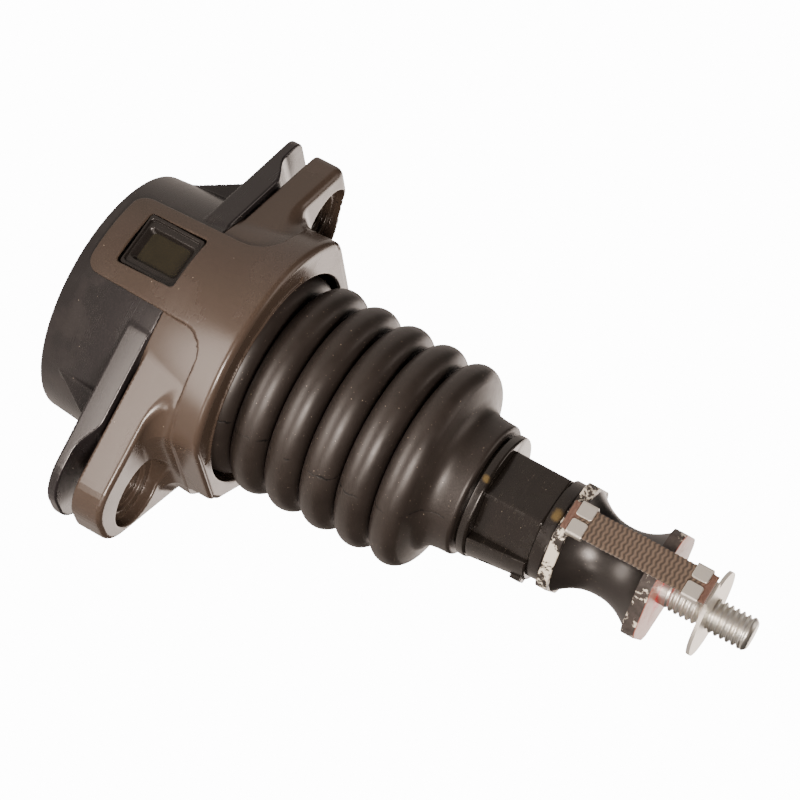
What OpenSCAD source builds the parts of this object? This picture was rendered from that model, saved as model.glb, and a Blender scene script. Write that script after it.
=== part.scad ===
// Two-axis industrial joystick base: flange-mounted gimbal housing, rubber bellows, and a
// stick that ends in a rubber isolator with a threaded stud for the grip.
// Origin: centre of the rear face. +Z runs up the stick at rest. The window looks along -Y
// and the two mounting ears lie on X.

/* [Rear can] */
// Outer radius of the can at its rear face
can_rear_r = 29.9; // [29.2:0.1:31]
// Draft of the can's outer wall, in degrees
can_draft = 4.8; // [4:0.1:5.5]
// Wall thickness of the can
can_wall = 2.2; // [1.8:0.1:2.4]
// Thickness of the can's floor
can_floor = 2.6; // [2.2:0.1:3.2]
// Height of the parting face between the can and the front housing
split_z = 24.8; // [24:0.1:26]
// Height of the back of the can's two lugs
lug_rear_z = 18.8; // [18.4:0.1:19.8]
// Thickness of each lug at its thin tip
lug_tip_t = 2.5; // [2.2:0.1:3]
// Thickness of the gusset fins behind the lugs
fin_t = 1.6; // [1.2:0.1:2]
// Distance of the gusset fins from the X axis
fin_y = 12.6; // [12.5:0.1:16.6]

/* [Front housing] */
// Height of the front face
front_z = 44.9; // [44.4:0.1:47]
// Length of the collar behind the front face
collar_len = 7.4; // [7:0.1:8]
// Radius of the collar's arched top
collar_r = 35.3; // [35:0.1:36]
// Half width of the collar across its flat sides
collar_half_w = 30.2; // [30.1:0.1:31]
// Rounding of the collar's front edge
collar_round = 2.4; // [1.6:0.1:2.8]
// Radius of the opening that the bellows comes out of
opening_r = 26.5; // [26.1:0.1:26.8]
// Rounding of the collar's flat sides at the front edge
flat_round = 1; // [0.6:0.1:1.4]
// Height of the saddle and tongue over the can's surface
saddle_rise = 1; // [0.8:0.1:1.3]
// Depth of the recessed band round the opening
band_depth = 0.4; // [0.2:0.1:0.6]

/* [Mounting ears] */
// Distance between the two mounting holes
hole_spacing = 79; // [78:0.2:80]
// Radius of the mounting holes
hole_r = 4.3; // [4:0.1:4.6]
// Radius of the counterbore for the screw's head
head_r = 8.7; // [8:0.1:8.9]
// Depth of the counterbore
head_depth = 2.8; // [2:0.1:3.2]
// Reach of the +X ear from the stick's axis
ear_reach = 52.9; // [52.6:0.1:54]
// Reach of the -X ear from the stick's axis
ear_reach_2 = 49.6; // [49.4:0.1:51]
// Back face of the ears
ear_rear_z = 25.4; // [25.2:0.1:26]
// Front face of the ears
ear_front_z = 33.1; // [32.5:0.1:34]
// Radius of the fillet between ear and collar
ear_fillet_r = 4.4; // [4.3:0.1:5]

/* [Window] */
// Width of the tongue
tongue_w = 21.9; // [20:0.1:23]
// Height of the tongue's rear edge
tongue_z = 3; // [2:0.1:4]
// Offset of the tongue and window from the stick's plane
tongue_x = -2.9; // [-3.2:0.1:-2.4]
// Width of the window
window_w = 14.2; // [13.6:0.1:14.8]
// Height of the window
window_h = 15.2; // [14.6:0.1:15.4]
// Height of the window's rear edge
window_z = 8.9; // [8.6:0.1:9.4]
// Rim width of the window frame
frame_rim = 1.7; // [1.3:0.1:2.2]
// Thickness of the pane
lens_t = 1; // [0.8:0.1:1.2]

/* [Bellows] */
// Number of full ripples above the collar
ripples = 5; // [4:1:5]
// Distance from ripple to ripple
ripple_pitch = 9.04; // [9:0.02:9.2]
// Height of the first full ripple's crest
ripple_z = 51.4; // [51.2:0.1:52]
// Crest radius of the first full ripple
ripple_r = 25.8; // [25.2:0.1:26]
// Loss of crest radius from one ripple to the next
ripple_step = 0.2; // [0.1:0.05:0.3]
// Wall thickness of the bellows
boot_wall = 1.4; // [1.2:0.1:1.6]
// Length of the cuff at the bellows' top
cuff_len = 6.4; // [5.8:0.1:7]
// Wall thickness of the cuff
cuff_wall = 2.7; // [2.4:0.1:3]

/* [Gimbal] */
// Height of the tilt centre
pivot_z = 24; // [23.8:0.1:24.4]
// Radius of both axles
axle_r = 3; // [2.6:0.1:3.2]
// Wall of the plain bushes
bush_wall = 1.6; // [1.3:0.1:1.8]
// Running clearance of the axles in their bushes, on the radius
axle_clear = 0.04; // [0.02:0.01:0.08]
// Outer radius of the gimbal ring
gimbal_r = 18.4; // [18:0.1:18.8]
// Width of the gimbal ring's section
gimbal_t = 4.4; // [4.2:0.1:4.8]
// Height of the gimbal ring
gimbal_h = 10.4; // [10:0.1:11]
// Width of the block in the middle of the gimbal
block_w = 16.8; // [16.2:0.1:17.2]
// Inner radius of the fixed frame
frame_r = 22.8; // [22.6:0.1:23.4]
// Wire radius of the centring springs
wire_r = 0.6; // [0.5:0.05:0.65]
// Turns of each centring spring
spring_turns = 2; // [1:1:2]

/* [Electronics] */
// Radius of the circuit board
board_r = 21.6; // [20:0.2:22]
// Thickness of the circuit board
board_t = 1.6; // [1.2:0.1:2]
// Height of the circuit board over the floor
board_gap = 2.6; // [2.2:0.1:2.8]
// Width of the rear socket
socket_w = 19; // [17:0.5:21]
// Rows of contacts in the socket
contact_cols = 6; // [4:1:6]

/* [Stick] */
// Radius of the shaft
shaft_r = 5; // [4.6:0.1:5.4]
// Height of the disc over the bellows
disc_z = 101.3; // [101:0.1:102.5]
// Radius of the disc
disc_r = 14.9; // [14.5:0.1:16]
// Thickness of the disc
disc_t = 2.3; // [2:0.1:2.8]
// Width across the flats of the hexagon body
hex_af = 22.4; // [22:0.1:23]
// Length of the hexagon body
hex_len = 14.2; // [13.6:0.1:15]
// Outer radius of the clip-on cover at its rear
cover_r = 14.5; // [14.3:0.1:15]
// Direction of the hexagons' first corner, in degrees
hex_turn = -70; // [-75:1:-65]
// Radius of the round collar
collar2_r = 11.9; // [11.4:0.1:12.4]
// Length of the round collar
collar2_len = 3.4; // [3:0.1:4]

/* [Isolator] */
// Width across the flats of the two plates
plate_af = 25.4; // [25:0.1:26]
// Thickness of the lower plate
plate_t = 2.8; // [2.4:0.1:3.2]
// Length of the rubber between the plates
rubber_len = 18.6; // [18:0.1:19.4]
// Radius of the rubber at the plates
rubber_r = 12.4; // [12.1:0.1:12.5]
// Radius of the rubber at its waist
waist_r = 8.45; // [7.8:0.05:9]
// Thickness of the upper plate
plate2_t = 3.3; // [2.8:0.1:3.8]

/* [Stud and strap] */
// Radius of the grip stud (5/16 inch)
stud_r = 3.93; // [3.8:0.01:4]
// Radius of the stud's shank under the washer
shank_r = 3.7; // [3.5:0.05:3.75]
// Length of the grip stud over the upper plate
stud_len = 21.7; // [20.5:0.2:24.5]
// Height of the washer over the upper plate
washer_rise = 10.9; // [10:0.1:11.5]
// Radius of the washer
washer_r = 10.24; // [10:0.1:10.6]
// Thickness of the washer
washer_t = 0.9; // [0.8:0.1:1.2]
// Width of the webbing strap
strap_w = 7.1; // [6.8:0.1:7.4]
// Thickness of the webbing strap
strap_t = 1.1; // [1:0.1:1.3]
// Length of each clip along the strap
clip_len = 4; // [3.6:0.1:4.4]
// Sheet thickness of the clips
clip_t = 0.5; // [0.4:0.05:0.6]

/* [Fits] */
// Clearance between moulded pieces
fit = 0.15; // [0.1:0.05:0.2]
// Radius of the case screws
screw_r = 1.5; // [1.3:0.1:1.6]

/* [Hidden] */
$fn = 72;
eps = 0.01;
overcut = 1;

// Housing
draft_slope = tan(can_draft);
can_cavity_r = can_rear_r - can_wall;
collar_z = front_z - collar_len;
lug_front_z = split_z - 0.2;
lug_tip_z = lug_rear_z + lug_tip_t;
hole_x = hole_spacing / 2;
lug_ramp = [hole_x - 5, hole_x + 4];
ear_end = ear_reach + 2;
ear_root = [13, -28.4];
ear_back = [[27.5, 21], [0, 23.5]];
fillet_x = collar_half_w + ear_fillet_r - 0.1;
collar_side_y = [-13, 9.3];
collar_side_r = 16;
collar_side_c = [collar_half_w - collar_side_r, collar_side_y[0]];
collar_low = [[collar_half_w, collar_side_y[1]], [27.8, 14.8], [20.8, 22]];
collar_low_r = 30.3;
pocket_r = 28;
band_in_r = opening_r + 0.9;
band_out_r = 29.3;
band_from = -122;
band_to = -14;
step_depth = 1.2;
step_r = (head_r + hole_r) / 2 - 0.2;

// Window
tongue_round = 3.4;
tongue_fillet = 7;
window_round = 1;
window_top_z = window_z + window_h;
frame_face_y = -(can_rear_r + saddle_rise + draft_slope * window_z - 0.9);
frame_back_y = -28.1;
lens_back_y = frame_back_y - 0.3;
lens_w = window_w - 2 * frame_rim - 2 * fit;
lens_h = window_h - 2 * frame_rim - 2 * fit;

// Bellows
crest_r = 4.15;
groove_r = 0.55;
groove_depth = 1.5;
last_crest_z = ripple_z + ripple_pitch * (ripples - 1);
cuff_r = 16.1;
cuff_in_r = cuff_r - cuff_wall;
cuff_z0 = disc_z - 0.9 - cuff_len;
flange_t = 2.5;
flange_r = pocket_r - fit;
flange_z = collar_z - flange_t;
inner_crest_r = opening_r - 1.5;
throat_r = 20.6;

// Gimbal
frame_out_r = can_cavity_r - 0.2;
retainer_h = 3;
frame_top_z = flange_z - retainer_h;
bush_r = axle_r + axle_clear + bush_wall;
gimbal_in_r = gimbal_r - gimbal_t;
bush_flange = 1;
block_top_z = pivot_z + 7.5;
block_low_z = pivot_z - 6;
spring_r = axle_r + wire_r + 0.5;

// Electronics
board_z = can_floor + board_gap;
board_top_z = board_z + board_t;
chip_w = 8;
chip_t = 1.4;
magnet_r = 3.6;
spigot_r = 3.5;
magnet_h = 3;
magnet_z = board_top_z + chip_t + 2.2;
socket_h = 10;
socket_y = 12;
socket_wall = 1.2;
contact_r = 0.4;

// Stick
hex_z = disc_z + disc_t;
hex_top_z = hex_z + hex_len;
collar2_z1 = hex_top_z + collar2_len;
shaft_top_z = hex_z + 5;
spigot_len = 2.5;
plate_z = collar2_z1;
rubber_z = plate_z + plate_t;
plate2_z = rubber_z + rubber_len;
stud_z = plate2_z + plate2_t;
washer_z = stud_z + washer_rise;
core_r = hex_af / 2 - 0.3;
root_r = 3.4;
cover_top_r = 12.9;
tab_angles = [20, 68, 116];
cover_from = -22;
cover_span = 180;
strap_x = 0.3;
strap_y = -(plate_af / 2 + 0.35 + clip_t + strap_t / 2);
strap_z0 = plate_z + 0.7;
strap_z1 = washer_z + 0.3;
clip_out_w = strap_w + 2 * clip_t + 0.2;
clip1_z = rubber_z - 0.6;
clip2_z = washer_z - 1 - clip_len;
clip_gap = 0.7;

// Points of an arc from a0 to a1 degrees, ends included
function arc(c, r, a0, a1, n = 10) =
    [for (i = [0:n]) c + r * [cos(a0 + (a1 - a0) * i / n), sin(a0 + (a1 - a0) * i / n)]];
function flip(p) = [for (i = [len(p) - 1:-1:0]) [-p[i][0], p[i][1]]];
function can_r(z) = can_rear_r + draft_slope * z;
function corner_r(af) = af / sqrt(3);
function crest_z(i) = ripple_z + ripple_pitch * i;
function crest_c(i) = (i < 0 ? inner_crest_r : ripple_r - ripple_step * i) - crest_r;

// Cone along Z that follows the can's draft, grown by extra
module drafted(z0, z1, extra = 0) {
    translate([0, 0, z0])
        cylinder(h = z1 - z0, r1 = can_r(z0) + extra, r2 = can_r(z1) + extra);
}

module ring(r_out, r_in, z0, h) {
    difference() {
        translate([0, 0, z0]) cylinder(h = h, r = r_out);
        translate([0, 0, z0 - overcut]) cylinder(h = h + 2 * overcut, r = r_in);
    }
}

module both_sides() {
    children();
    mirror([1, 0, 0]) children();
}

module along_x(x0, x1, r, y = 0, z = pivot_z) {
    translate([x0, y, z]) rotate([0, 90, 0]) cylinder(h = x1 - x0, r = r);
}

module along_y(y0, y1, r, x = 0, z = pivot_z) {
    translate([x, y0, z]) rotate([-90, 0, 0]) cylinder(h = y1 - y0, r = r);
}

// Extrudes a drawing in X and Z along Y
module extrude_y(y0, y1) {
    translate([0, y1, 0]) rotate([90, 0, 0]) linear_extrude(height = y1 - y0) children();
}

module hexagon(af, z0, h) {
    translate([0, 0, z0]) rotate([0, 0, hex_turn]) cylinder(h = h, r = corner_r(af), $fn = 6);
}

// Hexagon plate with its corners turned off
module turned_hexagon(af, z0, h) {
    intersection() {
        hexagon(af, z0, h);
        translate([0, 0, z0]) cylinder(h = h, r = corner_r(af) - 0.75);
    }
}

module rounded_square(w, h, r) {
    hw = w / 2 - r;
    hh = h / 2 - r;
    polygon(concat(arc([hw, hh], r, 0, 90, 5), arc([-hw, hh], r, 90, 180, 5),
        arc([-hw, -hh], r, 180, 270, 5), arc([hw, -hh], r, 270, 360, 5)));
}

// Outline of an ear and its lug on the +X side: straight edge, two corner arcs, straight edge
module ear_outline(reach, y1, r1, y2, r2, lean) {
    polygon(concat([[0, ear_root[1]], ear_root], arc([reach - r1, y1], r1, lean - 90, 0, 8),
        arc([reach - r2, y2], r2, 0, 55, 8), ear_back));
}

// The -X side's tip corner lies at y2, the +X side's at -6.8
module ear_plan(h, y2 = -8.6, lean2 = 27) {
    linear_extrude(height = h) ear_outline(ear_reach, -6.8, 9.6, -2.4, 11.4, 20.6);
    mirror([1, 0, 0]) linear_extrude(height = h) ear_outline(ear_reach_2, y2, 4.2, -3, 15, lean2);
}

module mount_holes(z0, z1) {
    both_sides() translate([hole_x, 0, z0]) cylinder(h = z1 - z0, r = hole_r);
}

module screw_places() {
    for (sx = [-1, 1], sy = [-1, 1]) translate([sx * (hole_x - 2.5), sy * 9.5, 0]) children();
}

// Side view of a lug: full thickness at the root, thin at the tip
module lug_profile() {
    drop = lug_front_z - lug_tip_z;
    mid = (lug_ramp[0] + lug_ramp[1]) / 2;
    run = lug_ramp[1] - lug_ramp[0];
    ramp = [for (i = [0:8]) [lug_ramp[0] + run * i / 8, lug_front_z - drop * (1 - cos(180 * i / 8)) / 2]];
    polygon(concat([[0, lug_rear_z], [0, lug_front_z]], ramp,
        [[ear_end, lug_tip_z], [ear_end, lug_rear_z]]));
}

module lugs() {
    intersection() {
        ear_plan(split_z + overcut, -10.4, 24);
        both_sides() extrude_y(-50, 50) lug_profile();
    }
}

module fin(y) {
    translate([0, fin_t / 2 + y, 0]) rotate([90, 0, 0]) linear_extrude(height = fin_t)
        polygon([[can_cavity_r - 3, 4], [27.4, 5.8], [hole_x - 4.1, lug_rear_z + eps],
            [can_cavity_r - 3, lug_rear_z + eps]]);
}

module base_can() {
    color([0.13, 0.12, 0.13]) difference() {
        union() {
            drafted(0, split_z);
            lugs();
            both_sides() for (y = [-fin_y, fin_y]) fin(y);
        }
        // cavity, a little narrower than the outer draft
        translate([0, 0, can_floor]) cylinder(h = split_z, r = can_cavity_r);
        // room for the window frame
        translate([tongue_x, -30, window_z + window_h / 2])
            cube([window_w + 2, 12, window_h + 2], center = true);
        mount_holes(lug_rear_z - overcut, split_z + overcut);
        screw_places() cylinder(h = split_z + overcut, r = screw_r + 0.1);
        // opening for the rear socket
        translate([0, socket_y, 0])
            cube([socket_w + 2 * fit, socket_h + 2 * fit, 3 * can_floor], center = true);
    }
    color([0.13, 0.12, 0.13]) board_posts();
}

module board_posts() {
    for (a = [30, 150, 270]) rotate([0, 0, a]) translate([board_r - 3, 0, can_floor - eps])
        cylinder(h = board_gap + eps, r = 2.2);
}

// Outline of the collar seen from the front
module collar_outline() {
    join = -42.6;
    right = concat(arc([0, 0], collar_r, -90, join, 12),
        arc(collar_side_c, collar_side_r, join, 0, 8), collar_low,
        arc([0, 0], collar_low_r, 47, 90, 8));
    polygon(concat(flip(right), right));
}

// Rounds the collar's arched top and flat sides at the front edge
module collar_rounding() {
    r = collar_round;
    top_r = can_r(front_z) + saddle_rise + 0.05;
    rotate_extrude() polygon(concat([[0, 0], [top_r, 0]],
        arc([top_r - r, front_z - r], r, 0, 90, 6), [[0, front_z]]));
}

module side_rounding() {
    r = flat_round;
    w = collar_half_w + 0.02;
    extrude_y(-50, 50)
        polygon(concat([[-w, 0], [w, 0]], arc([w - r, front_z - r], r, 0, 90, 6),
            arc([-w + r, front_z - r], r, 90, 180, 6)));
}

module collar_block() {
    intersection() {
        translate([0, 0, collar_z]) linear_extrude(height = collar_len) collar_outline();
        drafted(collar_z, front_z, saddle_rise);
        collar_rounding();
        side_rounding();
    }
}

// Raised saddle: tongue over the can, flared into the collar by two fillets
module saddle_outline() {
    half = tongue_w / 2;
    r = tongue_round;
    f = tongue_fillet;
    top = collar_z + eps;
    // the tongue widens towards the collar on its +X side
    near = half + 0.5;
    far = half + 1.7;
    left = arc([-half - f, top - f], f, 90, 0, 6);
    right = arc([far + f, top - f], f, 180, 90, 6);
    translate([tongue_x, 0])
        polygon(concat(right, [[far + f, top + 2], [-half - f, top + 2]], left,
            arc([-half + r, tongue_z + r], r, 180, 270, 6),
            arc([near - r, tongue_z + r], r, 270, 360, 6)));
}

module saddle() {
    intersection() {
        drafted(tongue_z, collar_z + 1, saddle_rise);
        extrude_y(-50, -10) saddle_outline();
    }
}

module ear_profile() {
    r = ear_fillet_r;
    polygon(concat([[0, ear_rear_z], [ear_end, ear_rear_z], [ear_end, ear_front_z]],
        arc([fillet_x, ear_front_z + r], r, 270, 192, 8), [[0, ear_front_z + r - r * cos(78)]]));
}

module ears() {
    intersection() {
        ear_plan(front_z);
        both_sides() extrude_y(-50, 50) ear_profile();
    }
}

module band_recess() {
    translate([0, 0, front_z - band_depth]) intersection() {
        ring(band_out_r, band_in_r, 0, 2);
        linear_extrude(height = 2) polygon(concat([[0, 0]], arc([0, 0], 40, band_from, band_to, 8)));
    }
}

module front_housing() {
    color([0.36, 0.33, 0.3]) difference() {
        union() {
            intersection() {
                drafted(split_z, collar_z + eps);
                translate([-collar_half_w, -50, 0]) cube([2 * collar_half_w, 100, front_z]);
            }
            collar_block();
            saddle();
            ears();
        }
        // inside: the can under the tongue, the pocket, and the opening
        drafted(-overcut, split_z, fit);
        translate([0, 0, split_z - eps]) cylinder(h = collar_z - split_z + eps, r = pocket_r);
        cylinder(h = front_z + overcut, r = opening_r);
        band_recess();
        extrude_y(-50, -20) translate([tongue_x, window_z + window_h / 2])
            rounded_square(window_w, window_h, window_round);
        mount_holes(0, front_z);
        both_sides() translate([hole_x, 0, ear_front_z - head_depth])
            cylinder(h = overcut + head_depth, r = head_r);
        both_sides() translate([hole_x, 0, ear_front_z - head_depth - step_depth])
            cylinder(h = overcut + head_depth, r = step_r);
        screw_places() translate([0, 0, ear_rear_z - overcut]) cylinder(h = overcut + 4.2, r = screw_r);
    }
}

module window_frame() {
    w = window_w - 2 * fit;
    h = window_h - 2 * fit;
    color([0.05, 0.05, 0.05]) translate([tongue_x, 0, window_z + window_h / 2]) difference() {
        extrude_y(frame_face_y, frame_back_y) rounded_square(w, h, window_round);
        extrude_y(frame_face_y - overcut, lens_back_y - lens_t)
            rounded_square(lens_w - 1, lens_h - 1, window_round);
        extrude_y(frame_face_y - overcut, frame_face_y + 1)
            rounded_square(lens_w + 1.4, lens_h + 1.4, window_round);
        extrude_y(lens_back_y - lens_t - eps, frame_back_y + overcut)
            rounded_square(lens_w + 2 * fit, lens_h + 2 * fit, 0.5);
    }
}

module window_lens() {
    color([0.16, 0.16, 0.09]) translate([tongue_x, 0, window_z + window_h / 2])
        extrude_y(lens_back_y - lens_t, lens_back_y) rounded_square(lens_w, lens_h, 0.5);
}

module gimbal_frame() {
    color([0.5, 0.5, 0.52]) difference() {
        ring(frame_out_r, frame_r, can_floor, frame_top_z - can_floor);
        along_x(-40, 40, bush_r);
        // relief behind the window frame
        translate([tongue_x, -frame_out_r, window_z + window_h / 2])
            cube([window_w + 1, 1.6, window_h + 1], center = true);
    }
}

module outer_bushes() {
    color([0.72, 0.6, 0.35]) both_sides() difference() {
        union() {
            along_x(frame_r - bush_flange, frame_out_r - 0.5, bush_r);
            along_x(frame_r - bush_flange, frame_r, bush_r + 1.2);
        }
        along_x(0, 40, axle_r + axle_clear);
    }
}

module boot_retainer() {
    color([0.45, 0.45, 0.46]) ring(pocket_r - fit, throat_r + 1.5, frame_top_z, retainer_h);
}

// One ripple of the bellows, as seen in section, for crest and groove radii a and g
function ripple(i, a, g) = concat(
    arc([crest_c(i), crest_z(i)], a, -78, 78, 12),
    i < ripples - 1 ? arc([crest_c(i) - groove_depth, crest_z(i) + ripple_pitch / 2], g, 258, 102, 6) : []);
function ripples_line(a, g, i = -1) = i >= ripples ? [] : concat(ripple(i, a, g), ripples_line(a, g, i + 1));

module boot() {
    top = cuff_z0 + cuff_len;
    outer = concat(
        [[throat_r, flange_z], [flange_r, flange_z], [flange_r, flange_z + flange_t - 0.05],
            [throat_r + 1.6, flange_z + flange_t - 0.05]],
        ripples_line(crest_r, groove_r),
        [[cuff_r + 1.6, cuff_z0 - 1.6], [cuff_r + 0.7, cuff_z0 - 0.4], [cuff_r + 0.3, cuff_z0 + 1.2]],
        arc([cuff_r - 1, top - 1], 1, 0, 90, 4));
    inner = concat(ripples_line(crest_r - boot_wall, groove_r + boot_wall),
        [[cuff_in_r, cuff_z0 - 0.5], [cuff_in_r, top]]);
    color([0.07, 0.07, 0.07]) rotate_extrude()
        polygon(concat(outer, [for (i = [len(inner) - 1:-1:0]) inner[i]]));
}

module circuit_board() {
    color([0.05, 0.3, 0.15]) difference() {
        translate([0, 0, board_z]) cylinder(h = board_t, r = board_r);
        translate([0, socket_y, board_z]) for (x = contact_xs()) for (y = [-1.27, 1.27])
            translate([x, y, -overcut]) cylinder(h = board_t + 2 * overcut, r = contact_r + 0.1);
    }
}

function contact_xs() = [for (i = [0:contact_cols - 1]) (i - (contact_cols - 1) / 2) * 2.54];

module hall_sensor() {
    color([0.08, 0.08, 0.08]) translate([0, 0, board_top_z + chip_t / 2])
        cube([chip_w, chip_w, chip_t], center = true);
}

module connector_socket() {
    color([0.1, 0.1, 0.1]) translate([0, socket_y, 0]) difference() {
        translate([-socket_w / 2, -socket_h / 2, 0.3]) cube([socket_w, socket_h, board_z - 0.3]);
        translate([-socket_w / 2 + socket_wall, -socket_h / 2 + socket_wall, -overcut])
            cube([socket_w - 2 * socket_wall, socket_h - 2 * socket_wall, board_z - 0.4]);
        for (x = contact_xs(), y = [-1.27, 1.27])
            translate([x, y, 0]) cylinder(h = board_z + overcut, r = contact_r + 0.02);
    }
}

module contact_pins() {
    color([0.8, 0.65, 0.25]) translate([0, socket_y, 1]) for (x = contact_xs(), y = [-1.27, 1.27])
        translate([x, y, 0]) cylinder(h = board_top_z, r = contact_r, $fn = 16);
}

module case_screws() {
    color([0.55, 0.55, 0.57]) screw_places() {
        translate([0, 0, lug_rear_z - 2]) difference() {
            cylinder(h = 2, r = 2.3);
            translate([0, 0, -overcut]) cylinder(h = overcut + 1, r = 1.3, $fn = 6);
        }
        translate([0, 0, lug_rear_z - eps]) cylinder(h = ear_rear_z + 3.8 - lug_rear_z, r = screw_r);
    }
}

module gimbal_ring() {
    color([0.6, 0.6, 0.62]) difference() {
        ring(gimbal_r, gimbal_in_r, pivot_z - gimbal_h / 2, gimbal_h);
        along_x(-40, 40, axle_r);
        along_y(-40, 40, axle_r);
    }
}

module outer_pins() {
    color([0.75, 0.75, 0.77]) both_sides() along_x(gimbal_in_r + 0.5, frame_out_r - 0.8, axle_r);
}

module inner_pin() {
    color([0.75, 0.75, 0.77]) along_y(-gimbal_r + 0.4, gimbal_r - 0.4, axle_r);
}

// Coil of a torsion spring round an axle, drawn round Z, with a bent end
module coil() {
    for (i = [0:spring_turns - 1]) translate([0, 0, wire_r * (1 + 1.9 * i)])
        rotate_extrude($fn = 48) translate([spring_r, 0]) circle(r = wire_r, $fn = 16);
    translate([0, spring_r, 0]) cylinder(h = wire_r * 3, r = wire_r, $fn = 16);
}

module outer_spring() {
    color([0.4, 0.4, 0.42]) both_sides()
        translate([gimbal_r + 0.1, 0, pivot_z]) rotate([0, 90, 0]) translate([0, 0, 0.3]) coil();
}

module inner_spring() {
    color([0.4, 0.4, 0.42]) for (s = [0, 180]) rotate([0, 0, s])
        translate([0, block_w / 2 + bush_flange + 0.3, pivot_z]) rotate([-90, 0, 0]) coil();
}

module gimbal_block() {
    color([0.35, 0.35, 0.37]) difference() {
        translate([-block_w / 2 + 1.4, -block_w / 2, block_low_z])
            cube([block_w - 2.8, block_w, block_top_z - block_low_z]);
        along_y(-40, 40, bush_r);
        translate([0, 0, block_top_z - spigot_len]) cylinder(h = 10, r = spigot_r);
        translate([0, 0, block_low_z - overcut]) cylinder(h = overcut + 1, r = magnet_r + 0.6);
    }
}

module inner_bushes() {
    color([0.72, 0.6, 0.35]) for (s = [0, 180]) rotate([0, 0, s]) difference() {
        union() {
            along_y(1.5, block_w / 2, bush_r);
            along_y(block_w / 2, block_w / 2 + bush_flange, bush_r + 1);
        }
        along_y(0, 40, axle_r + axle_clear);
    }
}

module magnet_holder() {
    color([0.1, 0.1, 0.1]) difference() {
        translate([0, 0, magnet_z]) cylinder(h = block_low_z + 1 - magnet_z, r = magnet_r + 0.6);
        translate([0, 0, magnet_z - overcut]) cylinder(h = overcut + magnet_h, r = magnet_r);
    }
}

module magnet() {
    color([0.6, 0.6, 0.62]) translate([0, 0, magnet_z]) cylinder(h = magnet_h, r = magnet_r);
}

module stick_shaft() {
    color([0.7, 0.7, 0.72]) {
        translate([0, 0, block_top_z - spigot_len]) cylinder(h = spigot_len + eps, r = spigot_r);
        translate([0, 0, block_top_z]) cylinder(h = shaft_top_z - block_top_z, r = shaft_r);
    }
}

module boot_hub() {
    color([0.08, 0.08, 0.08]) difference() {
        union() {
            translate([0, 0, cuff_z0 - 1]) cylinder(h = disc_z - cuff_z0 + 1 + eps, r = cuff_in_r);
            rotate_extrude() polygon(concat([[0, disc_z], [disc_r, disc_z]],
                arc([disc_r - 0.6, hex_z - 0.6], 0.6, 0, 90, 4), [[0, hex_z]]));
        }
        cylinder(h = hex_z + overcut, r = shaft_r);
    }
}

// Wedge that the clip-on cover fills, wider by g degrees at each end
module cover_wedge(g = 0) {
    translate([0, 0, hex_z - overcut]) linear_extrude(height = hex_len + 2 * overcut)
        polygon(concat([[0, 0]], arc([0, 0], 30, cover_from - g, cover_from + cover_span + g, 12)));
}

module hex_body() {
    color([0.07, 0.07, 0.07]) difference() {
        intersection() {
            hexagon(hex_af, hex_z, hex_len);
            // chamfers the front corners
            translate([0, 0, hex_z])
                cylinder(h = hex_len, r1 = corner_r(hex_af) + 5, r2 = corner_r(hex_af) - 0.4);
        }
        // turned down to a round core under the cover
        difference() {
            cover_wedge(0.6);
            cylinder(h = hex_top_z + overcut, r = core_r);
        }
        translate([0, 0, hex_z - overcut]) cylinder(h = shaft_top_z - hex_z + overcut, r = shaft_r);
        translate([0, 0, hex_top_z - 4]) cylinder(h = 5, r = root_r);
    }
}

// Half shell that clips round the hexagon, with snap tabs at its front end
module hex_cover() {
    color([0.1, 0.1, 0.1]) difference() {
        intersection() {
            union() {
                translate([0, 0, hex_z]) cylinder(h = hex_len, r1 = cover_r, r2 = cover_top_r);
                for (a = tab_angles) rotate([0, 0, a]) translate([core_r + 0.5, -2, hex_top_z - 3.4])
                    cube([14 - core_r - 0.5, 4, 2.8]);
            }
            cover_wedge();
        }
        cylinder(h = hex_top_z + overcut, r = core_r + fit / 2);
        // notch beside the rear snap
        rotate([0, 0, 14]) translate([cover_top_r - 0.2, -1.6, hex_z + 2.4]) cube([4, 3.2, 3.4]);
    }
}

module collar() {
    color([0.06, 0.06, 0.06]) difference() {
        rotate_extrude() polygon(concat([[0, hex_top_z], [collar2_r, hex_top_z]],
            arc([collar2_r - 0.8, collar2_z1 - 0.8], 0.8, 0, 90, 4), [[0, collar2_z1]]));
        translate([0, 0, hex_top_z - overcut]) cylinder(h = collar2_len + 2 * overcut, r = root_r);
    }
}

module isolator_stud() {
    color([0.65, 0.66, 0.68]) translate([0, 0, hex_top_z - 3.8])
        cylinder(h = plate_z - hex_top_z + 3.8, r = root_r);
}

module lower_plate() {
    tab_y = plate_af / 2 + 0.2;
    color([0.85, 0.84, 0.78]) difference() {
        union() {
            turned_hexagon(plate_af, plate_z, plate_t);
            // tab that the strap's clip is formed on
            translate([strap_x - strap_w / 2 + 0.6, -tab_y, plate_z])
                cube([strap_w - 1.2, 1.6, plate_t]);
        }
        // room for the clip
        strap_box(clip_out_w + 0.4, strap_t + 2 * clip_t + 0.5, clip1_z - 0.3, rubber_z + overcut);
    }
}

module rubber_isolator() {
    rise = rubber_r - waist_r;
    n = 18;
    side = [for (i = [0:n]) [waist_r + rise * pow(abs(2 * i / n - 1), 2.2), rubber_z + rubber_len * i / n]];
    color([0.08, 0.08, 0.08]) rotate_extrude()
        polygon(concat([[0, rubber_z]], side, [[0, plate2_z]]));
}

module upper_plate() {
    color([0.78, 0.5, 0.45]) difference() {
        turned_hexagon(plate_af, plate2_z, plate2_t);
        translate([0, 0, plate2_z + 1.5]) cylinder(h = plate2_t, r = shank_r);
    }
}

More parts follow.
